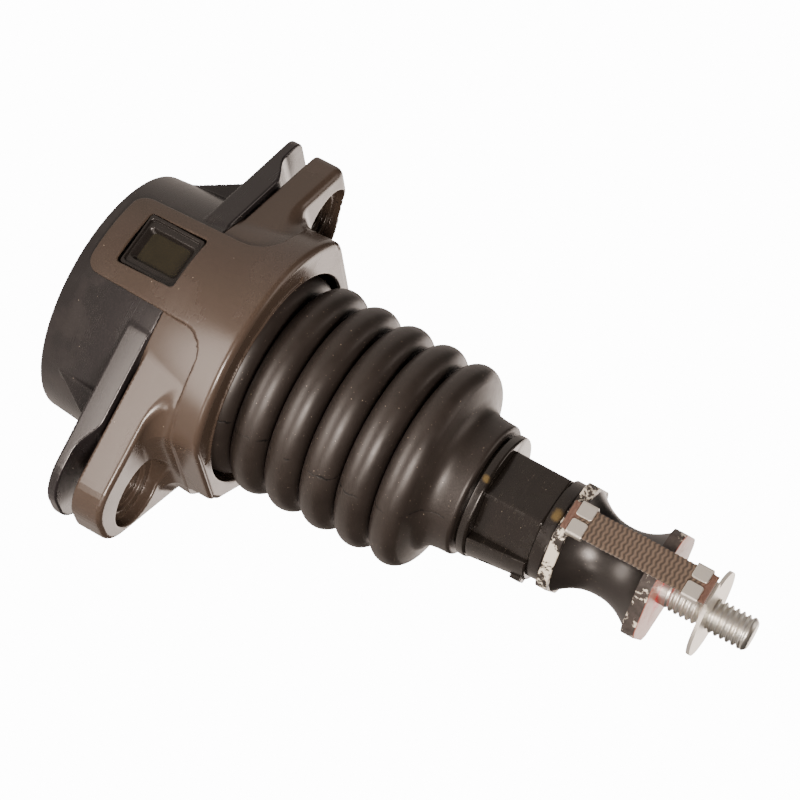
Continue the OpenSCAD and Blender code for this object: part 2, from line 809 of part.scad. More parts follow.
module grip_stud() {
    chamfer = 0.7;
    color([0.75, 0.77, 0.8]) rotate_extrude() polygon([[0, plate2_z + 1.5], [shank_r, plate2_z + 1.5],
        [shank_r, washer_z + washer_t + 0.2], [stud_r, washer_z + washer_t + 0.4],
        [stud_r, stud_z + stud_len - chamfer], [stud_r - chamfer, stud_z + stud_len],
        [0, stud_z + stud_len]]);
}

module strap_box(w, t, z0, z1) {
    translate([strap_x - w / 2, strap_y - t / 2, z0]) cube([w, t, z1 - z0]);
}

module safety_strap() {
    color([0.27, 0.23, 0.2]) strap_box(strap_w, strap_t, strap_z0, strap_z1);
}

// Sheet clip folded round the strap: back, two sides and two prongs that nearly meet
module clip(z0) {
    color([0.8, 0.8, 0.76]) difference() {
        strap_box(clip_out_w, strap_t + 2 * clip_t + 0.1, z0, z0 + clip_len);
        strap_box(strap_w + 0.1, strap_t + 0.06, z0 - overcut, z0 + clip_len + overcut);
        translate([strap_x - clip_gap / 2, strap_y - 5, z0 - overcut])
            cube([clip_gap, 5, clip_len + 2 * overcut]);
    }
}

module lower_clip() {
    clip(clip1_z);
}

module upper_clip() {
    clip(clip2_z);
}

module washer_terminal() {
    tab_t = 0.6;
    tab_w = strap_w - 1.4;
    tab_back = strap_y + strap_t / 2 + clip_t + 0.1;
    color([0.82, 0.82, 0.8]) {
        ring(washer_r, shank_r, washer_z, washer_t);
        difference() {
            translate([strap_x - tab_w / 2, tab_back, washer_z]) cube([tab_w, -tab_back - 6, washer_t]);
            translate([0, 0, washer_z - overcut]) cylinder(h = 4, r = shank_r);
        }
        translate([strap_x - tab_w / 2, tab_back, clip2_z]) cube([tab_w, tab_t, washer_z - clip2_z + eps]);
    }
}

base_can();
front_housing();
window_frame();
window_lens();
gimbal_frame();
outer_bushes();
boot_retainer();
boot();
circuit_board();
hall_sensor();
connector_socket();
contact_pins();
case_screws();
gimbal_ring();
outer_pins();
inner_pin();
outer_spring();
inner_spring();
gimbal_block();
inner_bushes();
magnet_holder();
magnet();
stick_shaft();
boot_hub();
hex_body();
hex_cover();
collar();
isolator_stud();
lower_plate();
rubber_isolator();
upper_plate();
grip_stud();
safety_strap();
lower_clip();
upper_clip();
washer_terminal();
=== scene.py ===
import math
import bpy
import bmesh
import numpy as np
from mathutils import Matrix


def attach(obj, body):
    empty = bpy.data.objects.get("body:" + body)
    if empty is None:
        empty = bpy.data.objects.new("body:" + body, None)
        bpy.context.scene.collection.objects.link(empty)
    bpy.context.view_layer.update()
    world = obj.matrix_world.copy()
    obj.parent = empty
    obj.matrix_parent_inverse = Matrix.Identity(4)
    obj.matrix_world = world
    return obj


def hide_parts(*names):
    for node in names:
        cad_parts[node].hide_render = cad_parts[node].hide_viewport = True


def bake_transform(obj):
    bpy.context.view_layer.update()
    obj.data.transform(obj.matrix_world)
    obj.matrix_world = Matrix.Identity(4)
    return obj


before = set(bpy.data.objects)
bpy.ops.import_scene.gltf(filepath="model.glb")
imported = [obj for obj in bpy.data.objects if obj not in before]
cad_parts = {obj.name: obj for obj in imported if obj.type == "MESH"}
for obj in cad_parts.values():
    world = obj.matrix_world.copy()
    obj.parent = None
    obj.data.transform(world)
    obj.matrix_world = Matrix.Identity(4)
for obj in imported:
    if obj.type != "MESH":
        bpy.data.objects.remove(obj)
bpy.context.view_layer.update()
mm = 0.001
print("frame loaded")


# ---------- meshes: everything is worked out in millimetres ----------

def fillMesh(name, verts, faces):
    mesh = bpy.data.meshes.new(name)
    mesh.from_pydata((np.asarray(verts) * mm).tolist(), [], np.asarray(faces).tolist())
    mesh.validate()
    return mesh


def putPiece(name, mesh, body, finish, replaces=(), smoothAngle=35):
    mesh.materials.clear()
    mesh.materials.append(finish)
    mesh.polygons.foreach_set("use_smooth", np.ones(len(mesh.polygons), bool))
    if smoothAngle:
        mesh.set_sharp_from_angle(angle=math.radians(smoothAngle))
    piece = bpy.data.objects.new(name, mesh)
    bpy.context.collection.objects.link(piece)
    if body:
        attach(piece, body)
    if replaces:
        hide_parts(*replaces)
    return piece


def gridFaces(rows, cols, wrapRows=False, wrapCols=False):
    # quads between neighbouring rows and columns of a grid, closed round where it wraps
    r = np.arange(rows if wrapRows else rows - 1)
    c = np.arange(cols if wrapCols else cols - 1)
    r, c = np.meshgrid(r, c, indexing="ij")
    r2, c2 = (r + 1) % rows, (c + 1) % cols
    return np.stack([r * cols + c, r2 * cols + c, r2 * cols + c2, r * cols + c2], -1).reshape(-1, 4)


def cleanMesh(mesh):
    # merges doubled points, which closes poles and seams, then turns the faces outwards
    bm = bmesh.new()
    bm.from_mesh(mesh)
    bmesh.ops.remove_doubles(bm, verts=bm.verts, dist=2e-6)
    bmesh.ops.recalc_face_normals(bm, faces=bm.faces)
    bm.to_mesh(mesh)
    bm.free()
    return mesh


def addFaces(mesh, faces):
    # closes a tube's ends with faces given by their points, and turns all faces outwards
    bm = bmesh.new()
    bm.from_mesh(mesh)
    bm.verts.ensure_lookup_table()
    for face in faces:
        bm.faces.new([bm.verts[i] for i in face])
    bmesh.ops.recalc_face_normals(bm, faces=bm.faces)
    bm.to_mesh(mesh)
    bm.free()
    return mesh


def roundCorners(profile, radius, steps=4):
    # each inner point of an open profile becomes a short curve: B + (1-t)^2 (A-B) + t^2 (C-B)
    # with A and C at most `radius` along the two sides; radius is one number or one per point
    pts = np.asarray(profile, float)
    radii = np.broadcast_to(radius, len(pts))
    out = [pts[:1]]
    for i in range(1, len(pts) - 1):
        back, ahead = pts[i - 1] - pts[i], pts[i + 1] - pts[i]
        lb, la = np.hypot(*back), np.hypot(*ahead)
        cut = min(radii[i], 0.48 * lb, 0.48 * la)
        if cut < 1e-4:
            out.append(pts[i:i + 1])
            continue
        t = np.linspace(0, 1, steps + 1)[:, None]
        out.append(pts[i] + (1 - t) ** 2 * back / lb * cut + t ** 2 * ahead / la * cut)
    out.append(pts[-1:])
    return np.concatenate(out)


def latheMesh(name, profile, sides=128, radiusAt=None):
    # point = (r(z) cos a, r(z) sin a, z), for a profile of (r, z); radiusAt(r, a, z) may change r
    profile = np.asarray(profile, float)
    a = np.linspace(0, 2 * np.pi, sides, endpoint=False)[None, :]
    r, z = profile[:, :1], profile[:, 1:] + 0 * a
    r = r + 0 * a if radiusAt is None else radiusAt(r, a, z)
    verts = np.stack([r * np.cos(a), r * np.sin(a), z], -1).reshape(-1, 3)
    return cleanMesh(fillMesh(name, verts, gridFaces(len(profile), sides, wrapCols=True)))


def hexRadius(flat, turn, corner, soft=0.35):
    # distance to a hexagon's side: a soft maximum over its six sides of flat/2 / cos(angle to
    # the side), and no more than `corner`
    def shape(r, a, z):
        sides = np.radians(turn + 30 + 60 * np.arange(6))[:, None, None]
        near = np.cos(a[None] - sides).max(0)
        side = flat / 2 / near
        blend = np.clip(0.5 + 0.5 * (side - corner) / soft, 0, 1)
        capped = side * (1 - blend) + corner * blend - soft * blend * (1 - blend)
        return r * capped / corner
    return shape


def smoothMax(a, b, k):
    # maximum of two fields with a circular rounding of radius k on the edge where they meet
    return np.minimum(-k, np.maximum(a, b)) + np.hypot(np.maximum(a + k, 0), np.maximum(b + k, 0))


def smoothMin(a, b, k):
    # union of two solids with a circular fillet of radius k
    return np.maximum(k, np.minimum(a, b)) - np.hypot(np.maximum(k - a, 0), np.maximum(k - b, 0))


def polygonField(x, y, pts):
    # signed distance from an outline: nearest side's distance, negative inside
    pts = np.asarray(pts, float)
    d = np.full(np.broadcast(x, y).shape, 1e9)
    inside = np.zeros(d.shape, bool)
    for p, q in zip(pts, np.roll(pts, -1, 0)):
        ex, ey = q - p
        wx, wy = x - p[0], y - p[1]
        t = np.clip((wx * ex + wy * ey) / (ex * ex + ey * ey), 0, 1)
        d = np.minimum(d, (wx - t * ex) ** 2 + (wy - t * ey) ** 2)
        if ey != 0:
            crosses = (p[1] > y) != (q[1] > y)
            inside ^= crosses & (wx < wy * ex / ey)
    return np.where(inside, -1, 1) * np.sqrt(d)


def roundedBox(u, v, hu, hv, r):
    # signed distance from a rectangle of half sizes hu and hv with corners of radius r
    qu, qv = np.abs(u) - hu + r, np.abs(v) - hv + r
    return np.hypot(np.maximum(qu, 0), np.maximum(qv, 0)) + np.minimum(np.maximum(qu, qv), 0) - r


def turned(x, y, angle):
    # distances along and across a direction at `angle` degrees from +X
    ca, sa = math.cos(math.radians(angle)), math.sin(math.radians(angle))
    return x * ca + y * sa, -x * sa + y * ca


def arcPoints(c, r, a0, a1, n=8):
    # points on the arc of radius r round c, from a0 to a1 degrees
    t = np.radians(np.linspace(a0, a1, n + 1))
    return [(c[0] + r * math.cos(s), c[1] + r * math.sin(s)) for s in t]


def fieldMesh(name, field, low, high, step):
    # surface where field(x, y, z) is zero: one point for each grid cell that it crosses, at the
    # mean of the crossings, then pulled along the field's slope onto the surface
    ax = [np.arange(l, h + step, step) for l, h in zip(low, high)]
    n = [len(v) for v in ax]
    d = field(ax[0][:, None, None], ax[1][None, :, None], ax[2][None, None, :]).astype(np.float32)
    inside = d < 0
    cell = np.zeros([k - 1 for k in n], np.int8)
    shifts = [(i, j, k) for i in (0, 1) for j in (0, 1) for k in (0, 1)]
    for i, j, k in shifts:
        cell += inside[i:n[0] - 1 + i, j:n[1] - 1 + j, k:n[2] - 1 + k]
    active = (cell > 0) & (cell < 8)
    ids = np.full(active.shape, -1, np.int64)
    where = np.argwhere(active)
    ids[active] = np.arange(len(where))
    corner = {s: d[tuple((where + s).T)] for s in shifts}
    total, count = np.zeros((len(where), 3)), np.zeros((len(where), 1))
    for axis in range(3):
        for s in shifts:
            if s[axis]:
                continue
            e = list(s)
            e[axis] = 1
            d0, d1 = corner[s], corner[tuple(e)]
            hit = (d0 < 0) != (d1 < 0)
            t = np.where(hit, d0 / np.where(hit, d0 - d1, 1), 0)
            p = np.tile(np.array(s, float), (len(where), 1))
            p[:, axis] += t
            total += p * hit[:, None]
            count += hit[:, None]
    verts = (where + total / count) * step + np.array([v[0] for v in ax])

    def slope(p, h=0.02):
        return np.stack([field(*(p + h * o).T) - field(*(p - h * o).T) for o in np.eye(3)], -1) / (2 * h)

    for turn in range(2):
        g = slope(verts)
        move = -field(*verts.T)[:, None] * g / np.maximum((g * g).sum(1, keepdims=True), 0.2)
        size = np.linalg.norm(move, axis=1, keepdims=True)
        verts = verts + move * np.minimum(1, 0.5 * step / np.maximum(size, 1e-9))
    faces = []
    for axis in range(3):
        u, v = [(1, 2), (2, 0), (0, 1)][axis]
        lo = [slice(1, -1)] * 3
        lo[axis] = slice(0, -1)
        hi = list(lo)
        hi[axis] = slice(1, None)
        a, b = inside[tuple(lo)], inside[tuple(hi)]
        edge = np.argwhere(a != b)
        flip = b[a != b]
        for m in range(3):
            if m != axis:
                edge[:, m] += 1
        quad = []
        for du, dv in ((-1, -1), (0, -1), (0, 0), (-1, 0)):
            q = edge.copy()
            q[:, u] += du
            q[:, v] += dv
            quad.append(ids[tuple(q.T)])
        quad = np.stack(quad, -1)
        quad[flip] = quad[flip][:, ::-1]
        faces.append(quad)
    faces = np.concatenate(faces)
    mesh = fillMesh(name, verts, faces)
    normals = slope(verts)
    normals /= np.maximum(np.linalg.norm(normals, axis=1, keepdims=True), 1e-9)
    mesh.polygons.foreach_set("use_smooth", np.ones(len(mesh.polygons), bool))
    mesh.normals_split_custom_set_from_vertices(normals.tolist())
    return mesh


# ---------- finishes ----------

class Value:
    # wraps a socket, so shader maths reads as ordinary arithmetic
    def __init__(self, finish, socket):
        self.finish, self.socket = finish, socket

    def maths(self, operation, other):
        return self.finish.node("Math", {"operation": operation}, {0: self, 1: other})

    def __add__(self, other):
        return self.maths("ADD", other)

    def __radd__(self, other):
        return self.maths("ADD", other)

    def __sub__(self, other):
        return self.maths("SUBTRACT", other)

    def __rsub__(self, other):
        return self.finish.node("Math", {"operation": "SUBTRACT"}, {0: other, 1: self})

    def __mul__(self, other):
        return self.maths("MULTIPLY", other)

    def __rmul__(self, other):
        return self.maths("MULTIPLY", other)

    def __lt__(self, other):
        return self.maths("LESS_THAN", other)

    def clamp(self):
        return self.finish.node("Clamp", {}, {0: self})


class Finish:
    # one material: node() makes any node from its type, settings and socket values
    def __init__(self, name):
        self.material = bpy.data.materials.new(name)
        self.material.use_nodes = True
        self.tree = self.material.node_tree
        self.tree.nodes.clear()
        self.out = self.tree.nodes.new("ShaderNodeOutputMaterial")
        place = self.node("TexCoord", {}, {}, "Object")
        self.pos = self.node("VectorMath", {"operation": "SCALE"}, {0: place, "Scale": 1 / mm})
        self.x, self.y, self.z = (self.node("SeparateXYZ", {}, {0: self.pos}, k) for k in "XYZ")

    def node(self, kind, settings, values, output=0):
        made = self.tree.nodes.new("ShaderNode" + kind)
        for key, value in settings.items():
            setattr(made, key, value)
        for key, value in values.items():
            if isinstance(value, Value):
                self.tree.links.new(value.socket, made.inputs[key])
            else:
                made.inputs[key].default_value = value
        return Value(self, made.outputs[output])

    def noise(self, scale, detail=2.0, rough=0.5, where=None, warp=0.0):
        values = {"Vector": where or self.pos, "Scale": scale, "Detail": detail, "Roughness": rough,
                  "Distortion": warp}
        return self.node("TexNoise", {"normalize": True}, values, "Fac")

    def stretch(self, sx, sy, sz, shift=(0, 0, 0)):
        return self.node("Mapping", {}, {"Vector": self.pos, "Scale": (sx, sy, sz), "Location": shift})

    def ramp(self, value, low, high, a=0.0, b=1.0):
        # runs softly from a to b while the value goes from low to high
        values = {"Value": value, "From Min": low, "From Max": high, "To Min": a, "To Max": b}
        return self.node("MapRange", {"interpolation_type": "SMOOTHSTEP"}, values)

    def mix(self, mask, a, b):
        def colour(c):
            return c if isinstance(c, Value) else tuple(c) + (1,)
        return self.node("Mix", {"data_type": "RGBA"}, {0: mask, 6: colour(a), 7: colour(b)}, 2)

    def specks(self, scale, size, share, where=None):
        # small dust grains: the inside of a few cells of a Voronoi pattern
        colour = self.node("TexVoronoi", {}, {"Vector": where or self.pos, "Scale": scale}, "Color")
        distance = Value(self, colour.socket.node.outputs["Distance"])
        pick = self.node("SeparateXYZ", {}, {0: colour}, "X")
        return self.ramp(distance, size, size * 0.6) * (pick < share)

    def bump(self, height, distance, strength):
        values = {"Height": height, "Distance": distance * mm, "Strength": strength}
        return self.node("Bump", {}, values, "Normal")

    def surface(self, fixed, varying):
        # fixed values sit on their sockets, and varying ones are linked
        shader = self.node("BsdfPrincipled", {}, {**fixed, **varying})
        self.tree.links.new(shader.socket, self.out.inputs["Surface"])
        return self.material


def mouldedPlastic(name, look):
    # satin moulding: faint mottling, fine grain, rub marks along one way, and dust
    f = Finish(name)
    cloud = f.noise(0.09, 3, 0.6)
    fine = f.noise(2.6, 2, 0.6)
    rub = f.noise(0.5, 4, 0.7, f.stretch(*look["rub"]))
    dust = f.specks(0.8, 0.1, look["dust"])
    lint = f.specks(0.3, 0.05, 0.5 * look["dust"], f.stretch(1, 0.3, 1.4))
    smear = f.ramp(f.noise(0.05, 4, 0.65, f.stretch(1, 1, 1, (31, 7, 3))), 0.5, 0.68)
    base = f.mix(cloud, look["dark"], look["light"])
    base = f.mix(smear * look["smear"], base, look["dusty"])
    base = f.mix((dust + lint).clamp() * 0.8, base, look["grain"])
    rough = look["rough"] + (rub - 0.5) * look["rubRough"] + (cloud - 0.5) * 0.08 + smear * 0.08 + dust * 0.3
    normal = f.bump(fine * look["grainBump"] + rub * 0.5, 0.05, look["bump"])
    return f.surface({"IOR": 1.5, "Specular IOR Level": look["specular"]},
                     {"Base Color": base, "Roughness": rough.clamp(), "Normal": normal})


housingLook = {
    "dark": (0.052, 0.037, 0.028), "light": (0.064, 0.047, 0.036), "dusty": (0.085, 0.066, 0.054),
    "grain": (0.42, 0.36, 0.28),
    "rough": 0.25, "rubRough": 0.08, "rub": (0.3, 0.3, 2.0), "dust": 0.07, "smear": 0.25, "grainBump": 1.0,
    "bump": 0.16,
    "specular": 0.5}
canLook = {
    "dark": (0.012, 0.0105, 0.011), "light": (0.02, 0.018, 0.019), "dusty": (0.05, 0.044, 0.042),
    "grain": (0.35, 0.3, 0.24),
    "rough": 0.25, "rubRough": 0.16, "rub": (0.2, 0.2, 3.0), "dust": 0.07, "smear": 0.35, "grainBump": 0.8,
    "bump": 0.14,
    "specular": 0.55}
housingPlastic = mouldedPlastic("housingPlastic", housingLook)
canPlastic = mouldedPlastic("canPlastic", canLook)


def simpleFinish(name, colour, rough, metallic=0.0, bump=0.1, specular=0.5):
    # one colour, a quarter darker or lighter in clouds, with a fine grain
    f = Finish(name)
    cloud = f.noise(0.25, 3)
    fine = f.noise(1.5, 3, 0.6)
    dark = tuple(c * 0.75 for c in colour)
    light = tuple(c * 1.25 for c in colour)
    return f.surface({"Metallic": metallic, "Specular IOR Level": specular},
                     {"Base Color": f.mix(cloud, dark, light),
                      "Roughness": (rough + (fine - 0.5) * 0.12).clamp(),
                      "Normal": f.bump(fine, 0.04, bump)})


trimBlack = simpleFinish("trimBlack", (0.014, 0.012, 0.011), 0.28)
paneFinish = simpleFinish("smokedPane", (0.020, 0.017, 0.008), 0.12, specular=0.35, bump=0.02)
castGrey = simpleFinish("castGrey", (0.35, 0.35, 0.36), 0.45, 0.9, 0.4)
bronze = simpleFinish("bearingBronze", (0.45, 0.3, 0.14), 0.35, 0.9)
steel = simpleFinish("turnedSteel", (0.5, 0.5, 0.52), 0.28, 1.0)
springSteel = simpleFinish("springSteel", (0.22, 0.21, 0.21), 0.3, 1.0)
boardGreen = simpleFinish("boardGreen", (0.01, 0.08, 0.03), 0.35)
chipBlack = simpleFinish("chipBlack", (0.012, 0.012, 0.012), 0.5)
contactGold = simpleFinish("contactGold", (0.7, 0.48, 0.16), 0.25, 1.0)
print("plain finishes made")


# ---------- camera, floor and lights ----------

view = {"lens": 120.71, "azimuth": 19.765, "elevation": 15.865, "roll": 118.199,
        "at": (188.302, -550.503, 238.165)}


def viewAxes():
    # unit vectors to the right, up and back, turned by roll round the way it looks
    a, e, r = (math.radians(view[k]) for k in ("azimuth", "elevation", "roll"))
    back = np.array([math.sin(a) * math.cos(e), -math.cos(a) * math.cos(e), math.sin(e)])
    right = np.array([math.cos(a), math.sin(a), 0.0])
    up = np.cross(back, right)
    return math.cos(r) * right + math.sin(r) * up, -math.sin(r) * right + math.cos(r) * up, back


camX, camY, camBack = viewAxes()


def placeTurned(obj, at, x, y, z):
    # a matrix whose columns are the three axes and the place
    obj.matrix_world = Matrix([(x[i], y[i], z[i], at[i]) for i in range(3)] + [(0, 0, 0, 1)])


camData = bpy.data.cameras.new("studioCamera")
camData.lens, camData.sensor_width = view["lens"], 36.0
camData.clip_start, camData.clip_end = 0.02, 50
camera = bpy.data.objects.new("studioCamera", camData)
bpy.context.collection.objects.link(camera)
placeTurned(camera, np.array(view["at"]) * mm, camX, camY, camBack)
bpy.context.scene.camera = camera

studio = {
    # way the light comes from, distance, size and power
    "main": ((0.52, -0.71, 0.48), 0.75, 0.24, 9.0),
    "side": ((0.86, -0.42, 0.22), 0.8, 0.22, 1.3),
    "top": ((-0.60, 0.10, 0.79), 0.9, 0.5, 1.4),
    "behind": ((-0.45, 0.86, 0.25), 0.9, 0.7, 5.0),
    "floorPanel": (0.085, -0.125, 0.003, 0.14, 0.45),
    "tint": (1.0, 0.86, 0.77), "world": 0.07, "floorSeen": 14.0, "floorGlow": 0.75}
middle = np.array([0, 0, 80.0]) * mm


def softLight(name, way, distance, size, power, at=None):
    away = np.array(way, float)
    away /= np.linalg.norm(away)
    data = bpy.data.lights.new(name, "AREA")
    data.shape, data.size, data.energy = "DISK", size, power
    data.color = studio["tint"]
    lamp = bpy.data.objects.new(name, data)
    bpy.context.collection.objects.link(lamp)
    side = np.cross((0.3, 0.2, 1.0), away)
    side /= np.linalg.norm(side)
    # a lamp shines along its own -Z
    placeTurned(lamp, middle + away * distance if at is None else at, side, np.cross(away, side), away)
    return lamp


for lampName in ("main", "side", "top", "behind"):
    softLight(lampName + "Light", *studio[lampName])
*panelAt, panelSize, panelPower = studio["floorPanel"]
softLight("panelLight", (0.05, 0.02, -1), 1, panelSize, panelPower, panelAt)

floorFinish = Finish("floorFinish")
seen = floorFinish.node("LightPath", {}, {}, "Is Camera Ray")
floorColour = floorFinish.mix(seen, studio["tint"], (1, 1, 1))
strength = seen * (studio["floorSeen"] - studio["floorGlow"]) + studio["floorGlow"]
glow = floorFinish.node("Emission", {}, {"Color": floorColour, "Strength": strength})
floorFinish.tree.links.new(glow.socket, floorFinish.out.inputs["Surface"])
floorSide, floorZ = 6000, -0.05
floorVerts = [(i * floorSide, j * floorSide, floorZ) for i, j in ((-1, -1), (1, -1), (1, 1), (-1, 1))]
floorMesh = fillMesh("studioFloor", floorVerts, [(0, 1, 2, 3)])
floor = putPiece("studioFloor", floorMesh, None, floorFinish.material, smoothAngle=0)

world = bpy.context.scene.world or bpy.data.worlds.new("studio")
bpy.context.scene.world = world
world.use_nodes = True
background = world.node_tree.nodes["Background"]
background.inputs["Color"].default_value = studio["tint"] + (1,)
background.inputs["Strength"].default_value = studio["world"]
print("camera, floor and lights placed")


# ---------- front housing ----------

housing = {
    "slope": 0.084, "canRadius": 29.9, "rise": 1.0, "split": 24.8, "collarZ": 37.5, "frontZ": 44.9,
    "flatX": 30.2,
    "opening": 26.5, "pocket": 28.0, "pocketZ": 37.5, "edge": 1.8, "flatEdge": 0.9, "flatBand": 1.2,
    "earRear": 25.4, "earFront": 33.1, "earEdge": 1.3, "farEdge": 2.2, "fillet": 4.4, "earStart": 14,
    "holeX": 39.5, "holeR": 4.3, "headR": 8.7, "headDepth": 2.8, "stepR": 6.3, "stepDepth": 1.2,
    "band": (27.4, 29.3), "bandDepth": 0.4, "bandFrom": -122, "bandTo": -14,
    "tongueX": -2.9, "tongueHalf": 10.95, "nearExtra": (0.5, 1.7), "tongueZ": 3.0, "tongueRound": 3.4,
    "flare": 7.0, "saddleY": -12, "windowHalf": (7.1, 7.6), "windowZ": 16.5, "windowY": -20}

flange = {
    # reach, then y and radius of the tip's two arcs, then the lean of the long edge
    "nearEar": (52.9, -6.8, 9.6, -2.4, 11.4, 20.6), "farEar": (49.6, -8.6, 4.2, -3, 15, 27),
    "nearLug": (52.9, -6.8, 10.2, -2.4, 11.4, 20.6), "farLug": (49.6, -10.4, 4.6, -3, 15, 24),
    "earRoot": [(0, -28.4), (13, -28.4)], "lugRoot": [(0, -20.0)], "back": [(27.5, 21), (0, 23.5)],
    "backTurn": 55, "out": 32.1, "root": 1.6, "nose": 3.2}


def flangeOutline(start, reach, y1, r1, y2, r2, lean):
    # the root's points, then two arcs round the tip, then the back edge
    return (start + arcPoints((reach - r1, y1), r1, lean - 90, 0)
            + arcPoints((reach - r2, y2), r2, 0, flange["backTurn"]) + flange["back"])


def lugRoot(lean):
    # a rounded nose `root` along an edge that stands `out` from the axis
    n = np.array([math.sin(math.radians(lean)), -math.cos(math.radians(lean))])
    t = np.array([-n[1], n[0]])
    c = (flange["out"] - flange["nose"]) * n + (flange["root"] + flange["nose"]) * t
    return flange["lugRoot"] + arcPoints(c, flange["nose"], lean - 180, lean - 90)


def mirrored(outline):
    return [(-x, y) for x, y in outline]


nearEar = flangeOutline(flange["earRoot"], *flange["nearEar"])
farEar = mirrored(flangeOutline(flange["earRoot"], *flange["farEar"]))
nearLug = flangeOutline(lugRoot(flange["nearLug"][-1]), *flange["nearLug"])
farLug = mirrored(flangeOutline(lugRoot(flange["farLug"][-1]), *flange["farLug"]))


def collarOutline():
    # half an outline, arcs joined by straight flats, and its mirror image
    right = (arcPoints((0, 0), 35.3, -90, -42.6, 12) + arcPoints((14.2, -13), 16, -42.6, 0)
             + [(30.2, 9.3), (27.8, 14.8), (20.8, 22)] + arcPoints((0, 0), 30.3, 47, 90, 8))
    return mirrored(right[::-1])[:-1] + right[:-1]


def saddleOutline():
    # drawing in x and z: the tongue, flared into the collar by two fillets
    h, cx = housing, housing["tongueX"]
    half, r, f, top, z0 = h["tongueHalf"], h["tongueRound"], h["flare"], h["collarZ"], h["tongueZ"]
    near, far = (half + extra for extra in h["nearExtra"])
    pts = (arcPoints((far + f, top - f), f, 180, 90, 10) + [(far + f, top + 9), (-half - f, top + 9)]
           + arcPoints((-half - f, top - f), f, 90, 0, 10)
           + arcPoints((-half + r, z0 + r), r, 180, 270, 8) + arcPoints((near - r, z0 + r), r, 270, 360, 8))
    return [(x + cx, z) for x, z in pts]


collarPts, saddlePts = collarOutline(), saddleOutline()


def housingField(x, y, z):
    # union of body cone, collar, saddle and ears, less the pocket, opening, window and holes
    h = housing
    rho = np.hypot(x, y)
    cone = rho - h["canRadius"] - h["slope"] * z
    body = smoothMax(cone, np.maximum(np.abs(x) - h["flatX"], h["split"] - z), 0.4)
    body = np.maximum(body, z - h["collarZ"] - 1)
    collar = smoothMax(polygonField(x, y, collarPts), cone - h["rise"], 0.5)
    collar = smoothMax(collar, z - h["frontZ"],
                       np.where(np.abs(x) > h["flatX"] - h["flatBand"], h["flatEdge"], h["edge"]))
    collar = smoothMax(collar, h["collarZ"] - z, 0.35)
    saddle = smoothMax(polygonField(x, z, saddlePts), cone - h["rise"], 0.3)
    saddle = np.maximum(saddle, np.maximum(y - h["saddleY"], z - h["collarZ"] - 2))
    whole = np.minimum(smoothMin(body, collar, 0.3), saddle)
    # a concave fillet leads from an ear's flat front up to the collar's side
    prism = np.maximum(polygonField(x, y, collarPts), cone - h["rise"])
    front = smoothMin(prism, z - h["earFront"], h["fillet"])
    for plan, side, edge in ((nearEar, 1, h["earEdge"]), (farEar, -1, h["farEdge"])):
        ear = smoothMax(polygonField(x, y, plan), front, edge)
        ear = smoothMax(ear, h["earRear"] - z, 0.4)
        ear = np.maximum(ear, np.maximum(h["earStart"] - side * x, z - h["collarZ"] - 0.6))
        whole = smoothMin(whole, ear, 0.3)
    hole = np.hypot(np.abs(x) - h["holeX"], y)
    head = np.maximum(hole - h["headR"], h["earFront"] - h["headDepth"] - z)
    ledge = np.maximum(hole - h["stepR"], h["earFront"] - h["headDepth"] - h["stepDepth"] - z)
    whole = smoothMax(whole, -np.maximum(head, z - h["earFront"] - 6), 0.5)
    whole = smoothMax(whole, -np.maximum(np.minimum(ledge, hole - h["holeR"]), z - h["earFront"] - 6), 0.3)
    whole = smoothMax(whole, h["opening"] - rho, 0.6)
    angle = np.degrees(np.arctan2(y, x))
    mid, half = (h["bandFrom"] + h["bandTo"]) / 2, (h["bandTo"] - h["bandFrom"]) / 2
    sector = (np.abs(angle - mid) - half) * rho * math.pi / 180
    band = np.maximum(np.maximum(h["band"][0] - rho, rho - h["band"][1]), sector)
    whole = smoothMax(whole, -np.maximum(band, h["frontZ"] - h["bandDepth"] - z), 0.12)
    pocket = np.maximum(rho - h["pocket"], np.maximum(z - h["pocketZ"], h["split"] - 1 - z))
    whole = np.maximum(whole, -pocket)
    canGap = np.maximum(cone - 0.15, z - h["split"])
    whole = np.maximum(whole, -canGap)
    hatch = roundedBox(x - h["tongueX"], z - h["windowZ"], *h["windowHalf"], 1.0)
    return smoothMax(whole, -np.maximum(hatch, y - h["windowY"]), 0.35)


housingMesh = fieldMesh("frontHousing", housingField, (-51.5, -36.5, 1.5), (54.5, 32.5, 46.5), 0.42)
putPiece("frontHousing", housingMesh, "base", housingPlastic, ["front_housing"], 0)
print("front housing", len(housingMesh.polygons))


# ---------- rear can with lugs and fins ----------

can = {"floorEdge": 0.5, "lugRear": 18.8, "lugFront": 24.6, "lugTip": 21.3, "ramp": (34.5, 43.5), "edge": 0.5,
       "finY": 12.6, "finHalf": 0.8, "finRoot": (27.4, 5.8), "finTop": 35.4, "socket": (9.65, 5.15),
       "socketY": 12.0,
       "socketZ": 4, "finStart": 20, "lugStart": 8, "screwAt": (37, 9.5), "screwR": 1.6, "screwStart": 15,
       "cavityR": 27.7, "floor": 2.6,
       "windowHalf": (8.1, 8.3)}


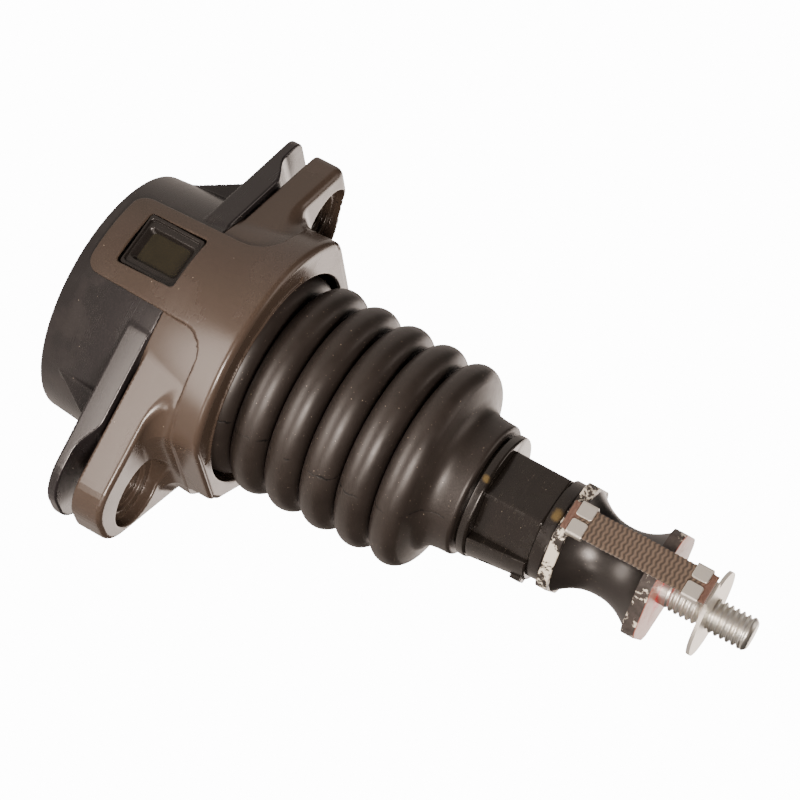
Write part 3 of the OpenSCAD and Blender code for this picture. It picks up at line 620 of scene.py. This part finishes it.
def canField(x, y, z):
    # union of the drafted can, its lugs and its fins, less the holes and the window's recess
    c, h = can, housing
    rho = np.hypot(x, y)
    cone = rho - h["canRadius"] - h["slope"] * z
    body = smoothMax(smoothMax(cone, -z, c["floorEdge"]), z - h["split"], 0.2)
    plan = np.minimum(polygonField(x, y, nearLug), polygonField(x, y, farLug))
    t = np.clip((np.abs(x) - c["ramp"][0]) / (c["ramp"][1] - c["ramp"][0]), 0, 1)
    front = c["lugFront"] - (c["lugFront"] - c["lugTip"]) * (1 - np.cos(np.pi * t)) / 2
    lug = smoothMax(smoothMax(plan, z - front, c["edge"]), c["lugRear"] - z, c["edge"])
    ax = np.abs(x)
    fin = np.maximum(np.abs(np.abs(y) - c["finY"]) - c["finHalf"], z - c["lugRear"] - 1)
    x0, z0 = c["finRoot"]
    lean = (c["finTop"] - x0) / (c["lugRear"] - z0)
    fin = np.maximum(fin, z0 - z)
    fin = np.maximum(fin, (ax - x0 - (z - z0) * lean) / math.hypot(1, lean))
    whole = smoothMin(body, np.maximum(fin, c["finStart"] - ax), 0.4)
    whole = smoothMin(whole, np.maximum(lug, c["lugStart"] - ax), 0.35)
    hole = np.hypot(ax - h["holeX"], y)
    screw = np.hypot(ax - c["screwAt"][0], np.abs(y) - c["screwAt"][1]) - c["screwR"]
    whole = np.maximum(whole, h["holeR"] - hole)
    whole = np.maximum(whole, -np.maximum(screw, c["screwStart"] - ax))
    cavity = np.maximum(rho - c["cavityR"], c["floor"] - z)
    whole = np.maximum(whole, -cavity)
    recess = roundedBox(x - h["tongueX"], z - h["windowZ"], *c["windowHalf"], 0.5)
    whole = np.maximum(whole, -np.maximum(recess, y - h["windowY"]))
    socket = np.maximum(np.abs(x) - c["socket"][0], np.abs(y - c["socketY"]) - c["socket"][1])
    return np.maximum(whole, -np.maximum(socket, z - c["socketZ"]))


canMesh = fieldMesh("rearCan", canField, (-51.5, -33.5, -1.0), (54.5, 33.5, 26.0), 0.45)
putPiece("rearCan", canMesh, "base", canPlastic, ["base_can"], 0)
print("rear can", len(canMesh.polygons))


# ---------- window frame and pane ----------

window = {"x": -2.9, "z": 16.5, "half": (6.8, 7.3), "face": 30.75, "back": 28.1, "lip": (5.9, 6.6),
          "lipY": 30.0,
          "mouth": (4.3, 6.1), "throat": (3.75, 4.85), "throatY": 28.5, "paneY": 28.75, "paneHalf": (4.6, 5.6)}


def windowFrameField(x, y, z):
    # block with a shallow outer step and a mouth that narrows from `mouth` to `throat`
    w = window
    u, v, d = x - w["x"], z - w["z"], -y
    block = smoothMax(roundedBox(u, v, *w["half"], 0.9), d - w["face"], 0.3)
    block = np.maximum(block, w["back"] - d)
    step = np.maximum(roundedBox(u, v, *w["lip"], 0.9), w["lipY"] - d)
    t = np.clip((d - w["throatY"]) / (w["lipY"] - w["throatY"]), 0, 1)
    wide = [a + (b - a) * t for a, b in zip(w["throat"], w["mouth"])]
    mouth = roundedBox(u, v, wide[0], wide[1], 1.0)
    return smoothMax(smoothMax(block, -step, 0.25), -mouth, 0.3)


frameMesh = fieldMesh("windowFrame", windowFrameField, (-10.5, -31.5, 8.4), (4.8, -27.4, 24.6), 0.2)
putPiece("windowFrame", frameMesh, "base", trimBlack, ["window_frame"], 0)


def boxMesh(name, low, high):
    # box between two opposite corners
    verts = [(x, y, z) for x in (low[0], high[0]) for y in (low[1], high[1]) for z in (low[2], high[2])]
    faces = [(0, 1, 3, 2), (4, 6, 7, 5), (0, 4, 5, 1), (2, 3, 7, 6), (0, 2, 6, 4), (1, 5, 7, 3)]
    return cleanMesh(fillMesh(name, verts, faces))


paneX, paneZ = window["paneHalf"]
paneMesh = boxMesh("windowPane", (window["x"] - paneX, -window["paneY"], window["z"] - paneZ),
                   (window["x"] + paneX, -window["back"], window["z"] + paneZ))
putPiece("windowPane", paneMesh, "base", paneFinish, ["window_lens"], 30)
print("window made")


# ---------- bellows ----------

bellows = {"ripples": 5, "pitch": 9.04, "firstZ": 51.4, "crestR": 25.8, "step": 0.2, "tube": 4.15,
           "valley": 0.55,
           "depth": 1.5, "wall": 1.4, "flangeZ": 35.0, "topZ": 37.45, "flangeR": 27.85, "throat": 20.6,
           "cuffR": 16.1,
           "endZ": 100.4, "splitRipple": 2, "innerCrest": 25.0, "mouthR": 22.2,
           "sleeveR": 13.4, "sleeveZ": 93.4, "sides": 144}


def bellowsProfile(inner):
    # crest arcs of radius `tube` joined by valley arcs, one pair per pitch; the inner side is
    # the same line moved in by the wall
    b = bellows
    a = b["tube"] - (b["wall"] if inner else 0)
    g = b["valley"] + (b["wall"] if inner else 0)
    pts = []
    for i in range(-1, b["ripples"]):
        z = b["firstZ"] + b["pitch"] * i
        c = (b["innerCrest"] if i < 0 else b["crestR"] - b["step"] * i) - b["tube"]
        pts += arcPoints((c, z), a, -78, 78 if i < b["ripples"] - 1 else 62, 18)
        if i < b["ripples"] - 1:
            pts += arcPoints((c - b["depth"], z + b["pitch"] / 2), g, 258, 102, 6)
    return pts


def bellowsParts():
    # outer line from the clamped flange over the ripples to the flared cuff, and the inner line
    b = bellows
    outer = [(b["throat"], b["flangeZ"]), (b["flangeR"], b["flangeZ"]), (b["flangeR"], b["topZ"]),
             (b["mouthR"], b["topZ"])]
    outer += bellowsProfile(False)
    c = b["cuffR"]
    outer += [(c + 3.2, 92.2), (c + 1.7, 93.0), (c + 0.8, 94.0), (c + 0.35, 95.2), (c + 0.1, 96.8), (c, 98.6)]
    outer += arcPoints((c - 1.0, b["endZ"] - 1.0), 1.0, 0, 90, 5)
    return outer, bellowsProfile(True) + [(b["sleeveR"], b["sleeveZ"]), (b["sleeveR"], b["endZ"])]


def bellowsPiece(name, zLow, zHigh):
    # ring turned from the closed loop of both lines between two heights
    outer, inner = (p[(p[:, 1] >= zLow) & (p[:, 1] <= zHigh)] for p in map(np.array, bellowsParts()))
    loop = np.concatenate([outer, inner[::-1]])
    sides = bellows["sides"]
    a = np.linspace(0, 2 * np.pi, sides, endpoint=False)[None, :]
    r, z = loop[:, :1] + 0 * a, loop[:, 1:] + 0 * a
    verts = np.stack([r * np.cos(a), r * np.sin(a), z], -1).reshape(-1, 3)
    faces = gridFaces(len(loop), sides, wrapRows=True, wrapCols=True)
    return cleanMesh(fillMesh(name, verts, faces))


def rubberFinish(name, look):
    # matte rubber: bloom in broad clouds, dust grains and lint, fine pores, moulding witness lines
    f = Finish(name)
    bloom = f.noise(0.12, 4, 0.62)
    streak = f.noise(0.6, 3, 0.6, f.stretch(1, 1, 0.25))
    fine = f.noise(3.2, 3, 0.6)
    dust = f.specks(0.9, 0.11, look["dust"])
    tiny = f.specks(2.0, 0.16, look["dust"] * 0.8)
    lint = f.specks(0.3, 0.05, look["dust"], f.stretch(1.4, 0.3, 0.8, (5, 3, 1)))
    base = f.mix(bloom, look["dark"], look["light"])
    base = f.mix(((dust + tiny * 0.7 + lint) * 0.75).clamp(), base, look["grain"])
    rough = look["rough"] + (bloom - 0.5) * 0.2 + (streak - 0.5) * 0.12
    height = fine * 0.5 + streak * 0.4
    if look["witness"]:
        angle = f.node("Math", {"operation": "ARCTAN2"}, {0: f.y, 1: f.x})
        wiggle = (f.noise(0.35, 3, 0.6) - 0.5) * 0.12
        line = f.node("Math", {"operation": "ABSOLUTE"}, {0: angle - look["witness"] + wiggle})
        crack = f.ramp(line, 0.012, 0.004) * f.ramp(f.noise(0.2, 2, 0.5, f.stretch(1, 1, 1, (9, 2, 4))), 0.4,
                                                    0.55)
        base = f.mix(crack * 0.9, base, (0.002, 0.002, 0.002))
        height = height - crack * 4
    normal = f.bump(height, 0.06, look["bump"])
    return f.surface({"Specular IOR Level": look["specular"]},
                     {"Base Color": base, "Roughness": rough.clamp(), "Normal": normal})


bootRubber = rubberFinish("bootRubber", {
    "dark": (0.012, 0.0095, 0.008), "light": (0.026, 0.021, 0.018), "grain": (0.4, 0.34, 0.27), "dust": 0.13,
    "rough": 0.42,
    "witness": -0.62, "bump": 0.25, "specular": 0.5})
isolatorRubber = rubberFinish("isolatorRubber", {
    "dark": (0.008, 0.007, 0.0065), "light": (0.018, 0.0155, 0.014), "grain": (0.3, 0.26, 0.2), "dust": 0.08,
    "rough": 0.33,
    "witness": 0.0, "bump": 0.22, "specular": 0.5})

splitZ = bellows["firstZ"] + bellows["pitch"] * (bellows["splitRipple"] - 0.5)
lowerMesh = bellowsPiece("bellowsLower", 0, splitZ + 1e-3)
upperMesh = bellowsPiece("bellowsUpper", splitZ - 1e-3, 200)
lowerBoot = putPiece("bellowsLower", lowerMesh, None, bootRubber, ["boot"], 50)
upperBoot = putPiece("bellowsUpper", upperMesh, None, bootRubber, ["boot"], 50)
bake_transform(lowerBoot)
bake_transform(upperBoot)
print("bellows made")


# ---------- hub, hexagon, cover and collar ----------

def glossPlastic(name, look):
    # glossy moulding with hairline scratches, finger smears and a few amber smudges
    f = Finish(name)
    cloud = f.noise(0.2, 3, 0.6)
    hair = f.ramp(f.noise(1.2, 5, 0.75, f.stretch(0.35, 0.35, 2.2), 1.2), 0.6, 0.66)
    wave = f.noise(0.5, 2, 0.5, f.stretch(1, 1, 0.5, (4, 4, 4)), 0.6)
    smear = f.ramp(f.noise(0.16, 4, 0.7), 0.48, 0.62)
    dust = f.specks(1.2, 0.13, look["dust"])
    base = f.mix(cloud, look["dark"], look["light"])
    base = f.mix((hair * 0.12 + dust * 0.7).clamp(), base, look["grain"])
    for at, size in look["smudges"]:
        gap = f.node("VectorMath", {"operation": "DISTANCE"}, {0: f.pos, 1: at}, "Value")
        spot = f.ramp(gap + (wave - 0.5) * 2.2, size, size * 0.35)
        base = f.mix(spot * 0.55, base, (0.16, 0.11, 0.035))
    rough = look["rough"] + smear * 0.14 + hair * 0.15 + dust * 0.3
    return f.surface({"Specular IOR Level": look["specular"], "IOR": 1.5},
                     {"Base Color": base, "Roughness": rough.clamp(),
                      "Normal": f.bump(wave * 0.7 + hair * 0.15 + f.noise(3, 2) * 0.15, 0.12, look["bump"])})


hubPlastic = glossPlastic("hubPlastic", {
    "dark": (0.006, 0.005, 0.0042), "light": (0.013, 0.0105, 0.009), "grain": (0.2, 0.17, 0.13), "rough": 0.2,
    "dust": 0.05,
    "bump": 0.16, "specular": 0.5, "smudges": [((2.5, -15, 102.4), 1.3), ((1.0, -12, 119.6), 1.8)]})

hub = {"sleeveR": 13.35, "sleeveZ": 93.2, "stepZ": 101.25, "discR": 14.9, "discZ": 101.3, "hexZ": 103.6}
hubPts = [(0, hub["sleeveZ"]), (hub["sleeveR"], hub["sleeveZ"]), (hub["sleeveR"], hub["stepZ"]),
          (hub["discR"], hub["discZ"]), (hub["discR"], hub["hexZ"]), (0, hub["hexZ"])]
hubMesh = latheMesh("bootHub", roundCorners(hubPts, (0, 0.1, 0.05, 0.45, 0.7, 0), 5), 144)
putPiece("bootHub", hubMesh, "stick", hubPlastic, ["boot_hub"], 40)

hexagon = {"flat": 22.4, "turn": -70, "z": 103.6, "top": 117.8, "corner": 12.75}
hexPts = [(0, hexagon["z"]), (hexagon["corner"], hexagon["z"]), (hexagon["corner"], hexagon["top"]),
          (0, hexagon["top"])]
hexShape = hexRadius(hexagon["flat"], hexagon["turn"], hexagon["corner"], 0.25)
hexMesh = latheMesh("hexBody", roundCorners(hexPts, (0, 0.2, 0.5, 0), 5), 360, radiusAt=hexShape)
putPiece("hexBody", hexMesh, "stick", hubPlastic, ["hex_body"], 30)

cover = {
    "from": -22, "span": 180, "r1": 14.5, "r2": 12.9, "z": 103.6, "top": 117.8, "core": 10.9,
    "tabTurns": (20, 68, 116), "tabR": 12.6, "tabHalf": (1.5, 2.1), "tabZ": 115.8, "tabTall": 1.4,
    "notchTurn": 14, "notchR": 12.9, "notchHalf": 1.6, "notchZ": 107.7, "notchTall": 1.7}


def coverField(x, y, z):
    # half shell of a cone over the round core, with snap tabs at its front and a notch behind
    c = cover
    rho = np.hypot(x, y)
    cone = rho - c["r1"] + (c["r1"] - c["r2"]) * (z - c["z"]) / (c["top"] - c["z"])
    shell = smoothMax(smoothMax(cone, c["z"] - z, 0.3), z - c["top"], 0.4)
    whole = shell
    for turn in c["tabTurns"]:
        u, v = turned(x, y, turn)
        tab = roundedBox(u - c["tabR"], v, *c["tabHalf"], 0.5)
        whole = np.minimum(whole, smoothMax(tab, np.abs(z - c["tabZ"]) - c["tabTall"], 0.3))
    whole = smoothMax(whole, -turned(x, y, c["from"] + c["span"] / 2)[0], 0.3)
    whole = smoothMax(whole, c["core"] + 0.1 - rho, 0.2)
    u, v = turned(x, y, c["notchTurn"])
    notch = np.maximum(c["notchR"] - u, np.abs(v) - c["notchHalf"])
    return smoothMax(whole, -np.maximum(notch, np.abs(z - c["notchZ"]) - c["notchTall"]), 0.2)


coverMesh = fieldMesh("hexCover", coverField, (-15.5, -8, 102.8), (15.5, 15.5, 119), 0.3)
putPiece("hexCover", coverMesh, "stick", hubPlastic, ["hex_cover"], 0)

neck = {"radius": 11.9, "low": 117.8, "high": 121.2}
neckPts = [(0, neck["low"]), (neck["radius"], neck["low"]), (neck["radius"], neck["high"]), (0, neck["high"])]
neckMesh = latheMesh("stickCollar", roundCorners(neckPts, (0, 0.1, 0.7, 0), 5), 128)
putPiece("stickCollar", neckMesh, "stick", hubPlastic, ["collar"], 40)
print("hub and hexagon made")


# ---------- isolator and its plates ----------

def chippedPaint(name, look):
    # paint over black: flakes where a broad and a fine noise agree
    f = Finish(name)
    broad = f.noise(0.22, 3, 0.6, f.stretch(1, 1, 1, look["shift"]))
    ragged = f.noise(1.1, 4, 0.7, f.stretch(1, 1, 1, look["shift"]))
    flake = f.ramp(broad * 0.55 + ragged * 0.45, look["cut"], look["cut"] + 0.02)
    tone = f.mix(f.noise(0.4, 3), look["paint"], look["paint2"])
    under = f.mix(f.noise(0.8, 3), (0.012, 0.01, 0.009), look["under"])
    base = f.mix(flake, tone, under)
    if look["face"]:
        face = f.ramp(f.z, look["faceZ"] - 0.25, look["faceZ"] - 0.05)
        salmon = f.mix(f.noise(0.5, 4, 0.6), look["face"], look["face2"])
        near = f.node("VectorMath", {"operation": "DISTANCE"}, {0: f.pos, 1: (0, 0, look["faceZ"])}, "Value")
        salmon = f.mix(f.ramp(near + (ragged - 0.5) * 3, 6.2, 4.6), salmon, (0.55, 0.03, 0.03))
        base = f.mix(face, base, salmon)
    rough = 0.42 + (ragged - 0.5) * 0.25 - flake * 0.08
    return f.surface({"Specular IOR Level": 0.45},
                     {"Base Color": base, "Roughness": rough.clamp(),
                      "Normal": f.bump(ragged * 0.5 - flake * 0.8, 0.12, 0.35)})


lowerPaint = chippedPaint("creamPaint", {
    "paint": (0.72, 0.68, 0.58), "paint2": (0.6, 0.56, 0.47), "under": (0.03, 0.026, 0.022), "cut": 0.5,
    "shift": (3.0, 1.0, 8.0),
    "face": None, "faceZ": 0, "face2": None})
upperPaint = chippedPaint("salmonPaint", {
    "paint": (0.7, 0.66, 0.56), "paint2": (0.55, 0.5, 0.42), "under": (0.07, 0.06, 0.055), "cut": 0.44,
    "shift": (0.0, 5.0, 2.0),
    "face": (0.36, 0.10, 0.07), "face2": (0.50, 0.24, 0.19), "faceZ": 145.9})

plate = {"flat": 25.4, "corner": 13.92, "turn": -70, "edge": 0.35, "lower": (121.2, 124.0),
         "upper": (142.6, 145.9)}


def hexPlate(name, z0, z1, finish, slot, node):
    # hexagon between two heights, with soft edges
    pts = [(0, z0), (plate["corner"], z0), (plate["corner"], z1), (0, z1)]
    pts = roundCorners(pts, (0, 0.25, plate["edge"], 0), 5)
    mesh = latheMesh(name, pts, 360, radiusAt=hexRadius(plate["flat"], plate["turn"], plate["corner"], 0.3))
    return putPiece(name, mesh, "stick", finish, [node], 30)


hexPlate("lowerPlate", *plate["lower"], lowerPaint, "plate_paint", "lower_plate")
hexPlate("upperPlate", *plate["upper"], upperPaint, "plate_salmon", "upper_plate")

isolator = {"low": 124.0, "length": 18.6, "end": 12.4, "waist": 8.45, "curve": 2.2}


def isolatorProfile():
    # waisted radius = waist + (end - waist) |2t - 1|^curve, where t goes from 0 to 1 up its length
    low, length, end, waist = (isolator[k] for k in ("low", "length", "end", "waist"))
    t = np.linspace(0, 1, 40)
    r = waist + (end - waist) * np.abs(2 * t - 1) ** isolator["curve"]
    return np.concatenate([[(0, low)], np.stack([r, low + length * t], -1), [(0, low + length)]])


isolatorMesh = latheMesh("rubberIsolator", isolatorProfile(), 144)
putPiece("rubberIsolator", isolatorMesh, "stick", isolatorRubber, ["rubber_isolator"], 50)
print("plates and isolator made")


# ---------- stud ----------

def zincFinish(name, look):
    # bright plating, cool and warm in clouds, with dull specks
    f = Finish(name)
    cloud = f.noise(0.5, 4, 0.65)
    fine = f.noise(3.5, 4, 0.7)
    base = f.mix(cloud, look["cool"], look["warm"])
    base = f.mix(f.ramp(fine, 0.62, 0.72) * 0.6, base, look["dirt"])
    return f.surface({"Metallic": 1.0},
                     {"Base Color": base, "Roughness": (look["rough"] + (fine - 0.5) * 0.25).clamp(),
                                         "Normal": f.bump(fine, 0.04, 0.25)})


studZinc = zincFinish("studZinc",
    {"cool": (0.62, 0.68, 0.72), "warm": (0.8, 0.74, 0.62), "dirt": (0.35, 0.3, 0.24), "rough": 0.36})
clipMetal = zincFinish("clipMetal",
    {"cool": (0.8, 0.79, 0.75), "warm": (0.86, 0.83, 0.74), "dirt": (0.55, 0.48, 0.38), "rough": 0.42})

thread = {"crest": 3.93, "root": 3.2, "pitch": 1.411, "low": 147.4, "high": 166.6, "foot": 144.1, "tip": 167.6,
          "perTurn": 14}


def studMesh():
    # one surface over height and angle: radius = crest - depth * triangle wave of (z/pitch - angle/turn),
    # faded out into the neck and the tip
    t = thread
    z = np.concatenate([np.linspace(t["foot"], t["low"], 12)[:-1],
                        np.arange(t["low"], t["high"], t["pitch"] / t["perTurn"]),
                        np.linspace(t["high"], t["tip"], 9)])
    a = np.linspace(0, 2 * np.pi, 72, endpoint=False)
    zz, aa = np.meshgrid(z, a, indexing="ij")
    phase = (zz / t["pitch"] - aa / (2 * np.pi)) % 1.0
    tooth = np.clip(1.25 - 2.7 * np.abs(phase - 0.5), 0, 1)
    tooth = tooth * tooth * (3 - 2 * tooth) * 0.35 + tooth * 0.65
    fade = np.clip((zz - t["low"]) / 1.2, 0, 1) * np.clip((t["high"] - zz) / 0.9, 0, 1)
    radius = t["crest"] - (t["crest"] - t["root"]) * (1 - tooth) * fade - 0.35 * (1 - np.clip((zz - t["low"]) / 1.2, 0, 1))
    radius -= 0.8 * np.clip((zz - t["high"]) / (t["tip"] - t["high"]), 0, 1) ** 1.6
    verts = np.stack([radius * np.cos(aa), radius * np.sin(aa), zz], -1).reshape(-1, 3)
    ends = np.array([[0, 0, t["foot"]], [0, 0, t["tip"]]])
    n, sides = len(verts), len(a)
    mesh = fillMesh("gripStud", np.concatenate([verts, ends]), gridFaces(len(z), sides, wrapCols=True))
    return addFaces(mesh, [(first + k, first + (k + 1) % sides, pole) for first, pole in ((0, n), (n - sides, n + 1))
                           for k in range(sides)])


putPiece("gripStud", studMesh(), "stick", studZinc, ["grip_stud"], 60)
print("stud made")


# ---------- safety strap and clips ----------

strap = {"x": 0.3, "y": -14.1, "width": 7.1, "thick": 1.1, "z0": 121.9, "z1": 157.1, "ribs": 1.13,
         "weave": 0.16, "warp": 1.75, "twill": 0.9}


def strapMesh():
    # rounded-edge ribbon: a superellipse carried up its length, plus a bulge of the cosine of
    # height / ribs, shifted in a wave across the width
    s = strap
    rows, around = 420, 96
    t = np.linspace(0, 1, rows)[:, None]
    a = np.linspace(0, 2 * np.pi, around, endpoint=False)[None, :]
    z = s["z0"] + (s["z1"] - s["z0"]) * t + 0 * a
    ca, sa = np.cos(a), np.sin(a)
    u = np.sign(ca) * np.abs(ca) ** 0.35
    v = np.sign(sa) * np.abs(sa) ** 0.5
    across = u * s["width"] / 2
    rib = 2 * np.pi * z / s["ribs"]
    warp = 2 * np.pi * across / s["warp"]
    knit = np.cos(rib + s["twill"] * np.sin(warp)) * 0.5 + 0.5
    yarn = 0.5 + 0.5 * np.cos(2 * warp)
    bulge = s["weave"] * (knit * (0.8 + 0.2 * yarn))
    half = s["thick"] / 2 - s["weave"]
    wave = 0.22 * np.sin(z * 0.33 + 1.2) - 0.12
    x = s["x"] + across * (1 + 0.012 * np.cos(rib)) + 0.08 * np.sin(z * 0.4)
    y = s["y"] + v * (half + bulge) + wave * np.sin(np.pi * t)
    verts = np.stack([x, y, z], -1).reshape(-1, 3)
    mesh = fillMesh("safetyStrap", verts, gridFaces(rows, around, wrapCols=True))
    return addFaces(mesh, [range(around), range((rows - 1) * around, rows * around)])


def webbingFinish():
    # painted shade between the ribs, where the woven surface dips, with loose fibres and stained ends
    f = Finish("strapWebbing")
    s = strap
    warp = (f.x - s["x"]) * (2 * math.pi / s["warp"])
    rib = f.z * (2 * math.pi / s["ribs"])
    side = f.node("Math", {"operation": "SINE"}, {0: warp})
    knit = f.node("Math", {"operation": "COSINE"}, {0: rib + side * s["twill"]}) * 0.5 + 0.5
    fibre = f.noise(5.0, 3, 0.7, f.stretch(1, 1, 0.3))
    cloud = f.noise(0.35, 3)
    # painted shade: near black in the dips between the ribs, the webbing's own brown on the ribs
    base = f.mix(knit, (0.014, 0.010, 0.007), (0.105, 0.074, 0.052))
    base = f.mix(fibre * 0.22, base, (0.2, 0.15, 0.11))
    ends = (f.ramp(f.z, s["z0"] + 3.4, s["z0"] + 1.4) + f.ramp(f.z, s["z1"] - 3.4, s["z1"] - 1.4)).clamp()
    base = f.mix(ends * 0.8, base, (0.11, 0.055, 0.04))
    rough = 0.75 + (cloud - 0.5) * 0.15
    return f.surface({"Sheen Weight": 0.25, "Sheen Roughness": 0.5, "Specular IOR Level": 0.35},
                     {"Base Color": base, "Roughness": rough.clamp(), "Normal": f.bump(fibre, 0.08, 0.5)})


putPiece("safetyStrap", strapMesh(), "stick", webbingFinish(), ["safety_strap"], 60)

clip = {"lengths": ((123.4, 127.4), (151.7, 155.7)), "gap": 0.9, "prongHalf": 5, "sheet": 0.5, "slack": 0.15}


def clipField(z0, z1):
    # back, sides and two folded prongs with rounded free corners, round a strap
    s, c = strap, clip
    half, mid = s["width"] / 2 + c["slack"], (z0 + z1) / 2

    def field(x, y, z):
        u, w, v = x - s["x"], y - s["y"], z - mid
        outer = roundedBox(u, w, half + c["sheet"], s["thick"] / 2 + c["sheet"], 0.6)
        inner = roundedBox(u, w, half, s["thick"] / 2 + 0.04, 0.3)
        band = smoothMax(outer, -inner, 0.12)
        band = smoothMax(band, np.abs(v) - (z1 - z0) / 2, 0.2)
        prong = roundedBox(np.abs(u) - c["gap"] / 2 - c["prongHalf"], v, c["prongHalf"], (z1 - z0) / 2, 0.7)
        return smoothMax(band, np.minimum(prong, -w), 0.15)

    return field


for clipName, node, (z0, z1) in zip(("lowerClip", "upperClip"), ("lower_clip", "upper_clip"), clip["lengths"]):
    clipMesh = fieldMesh(clipName, clipField(z0, z1), (-5, -16, z0 - 0.6), (5.6, -12.2, z1 + 0.6), 0.12)
    putPiece(clipName, clipMesh, "stick", clipMetal, [node], 0)
print("strap and clips made")


# ---------- finishes of the pieces kept from the frame ----------

nodeFinish = {
    "gimbal_frame": castGrey, "outer_bushes": bronze, "boot_retainer": castGrey, "circuit_board": boardGreen,
    "hall_sensor": chipBlack, "connector_socket": chipBlack, "contact_pins": contactGold, "case_screws": steel,
    "gimbal_ring": steel, "outer_pins": steel, "inner_pin": steel, "outer_spring": springSteel,
    "inner_spring": springSteel, "gimbal_block": castGrey, "inner_bushes": bronze, "magnet_holder": chipBlack,
    "magnet": steel, "stick_shaft": steel, "isolator_stud": studZinc, "washer_terminal": clipMetal}


def dress(name, finish):
    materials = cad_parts[name].data.materials
    if not len(materials):
        materials.append(finish)
    for i in range(len(materials)):
        materials[i] = finish


for nodeName, finish in nodeFinish.items():
    dress(nodeName, finish)

print("all pieces dressed")
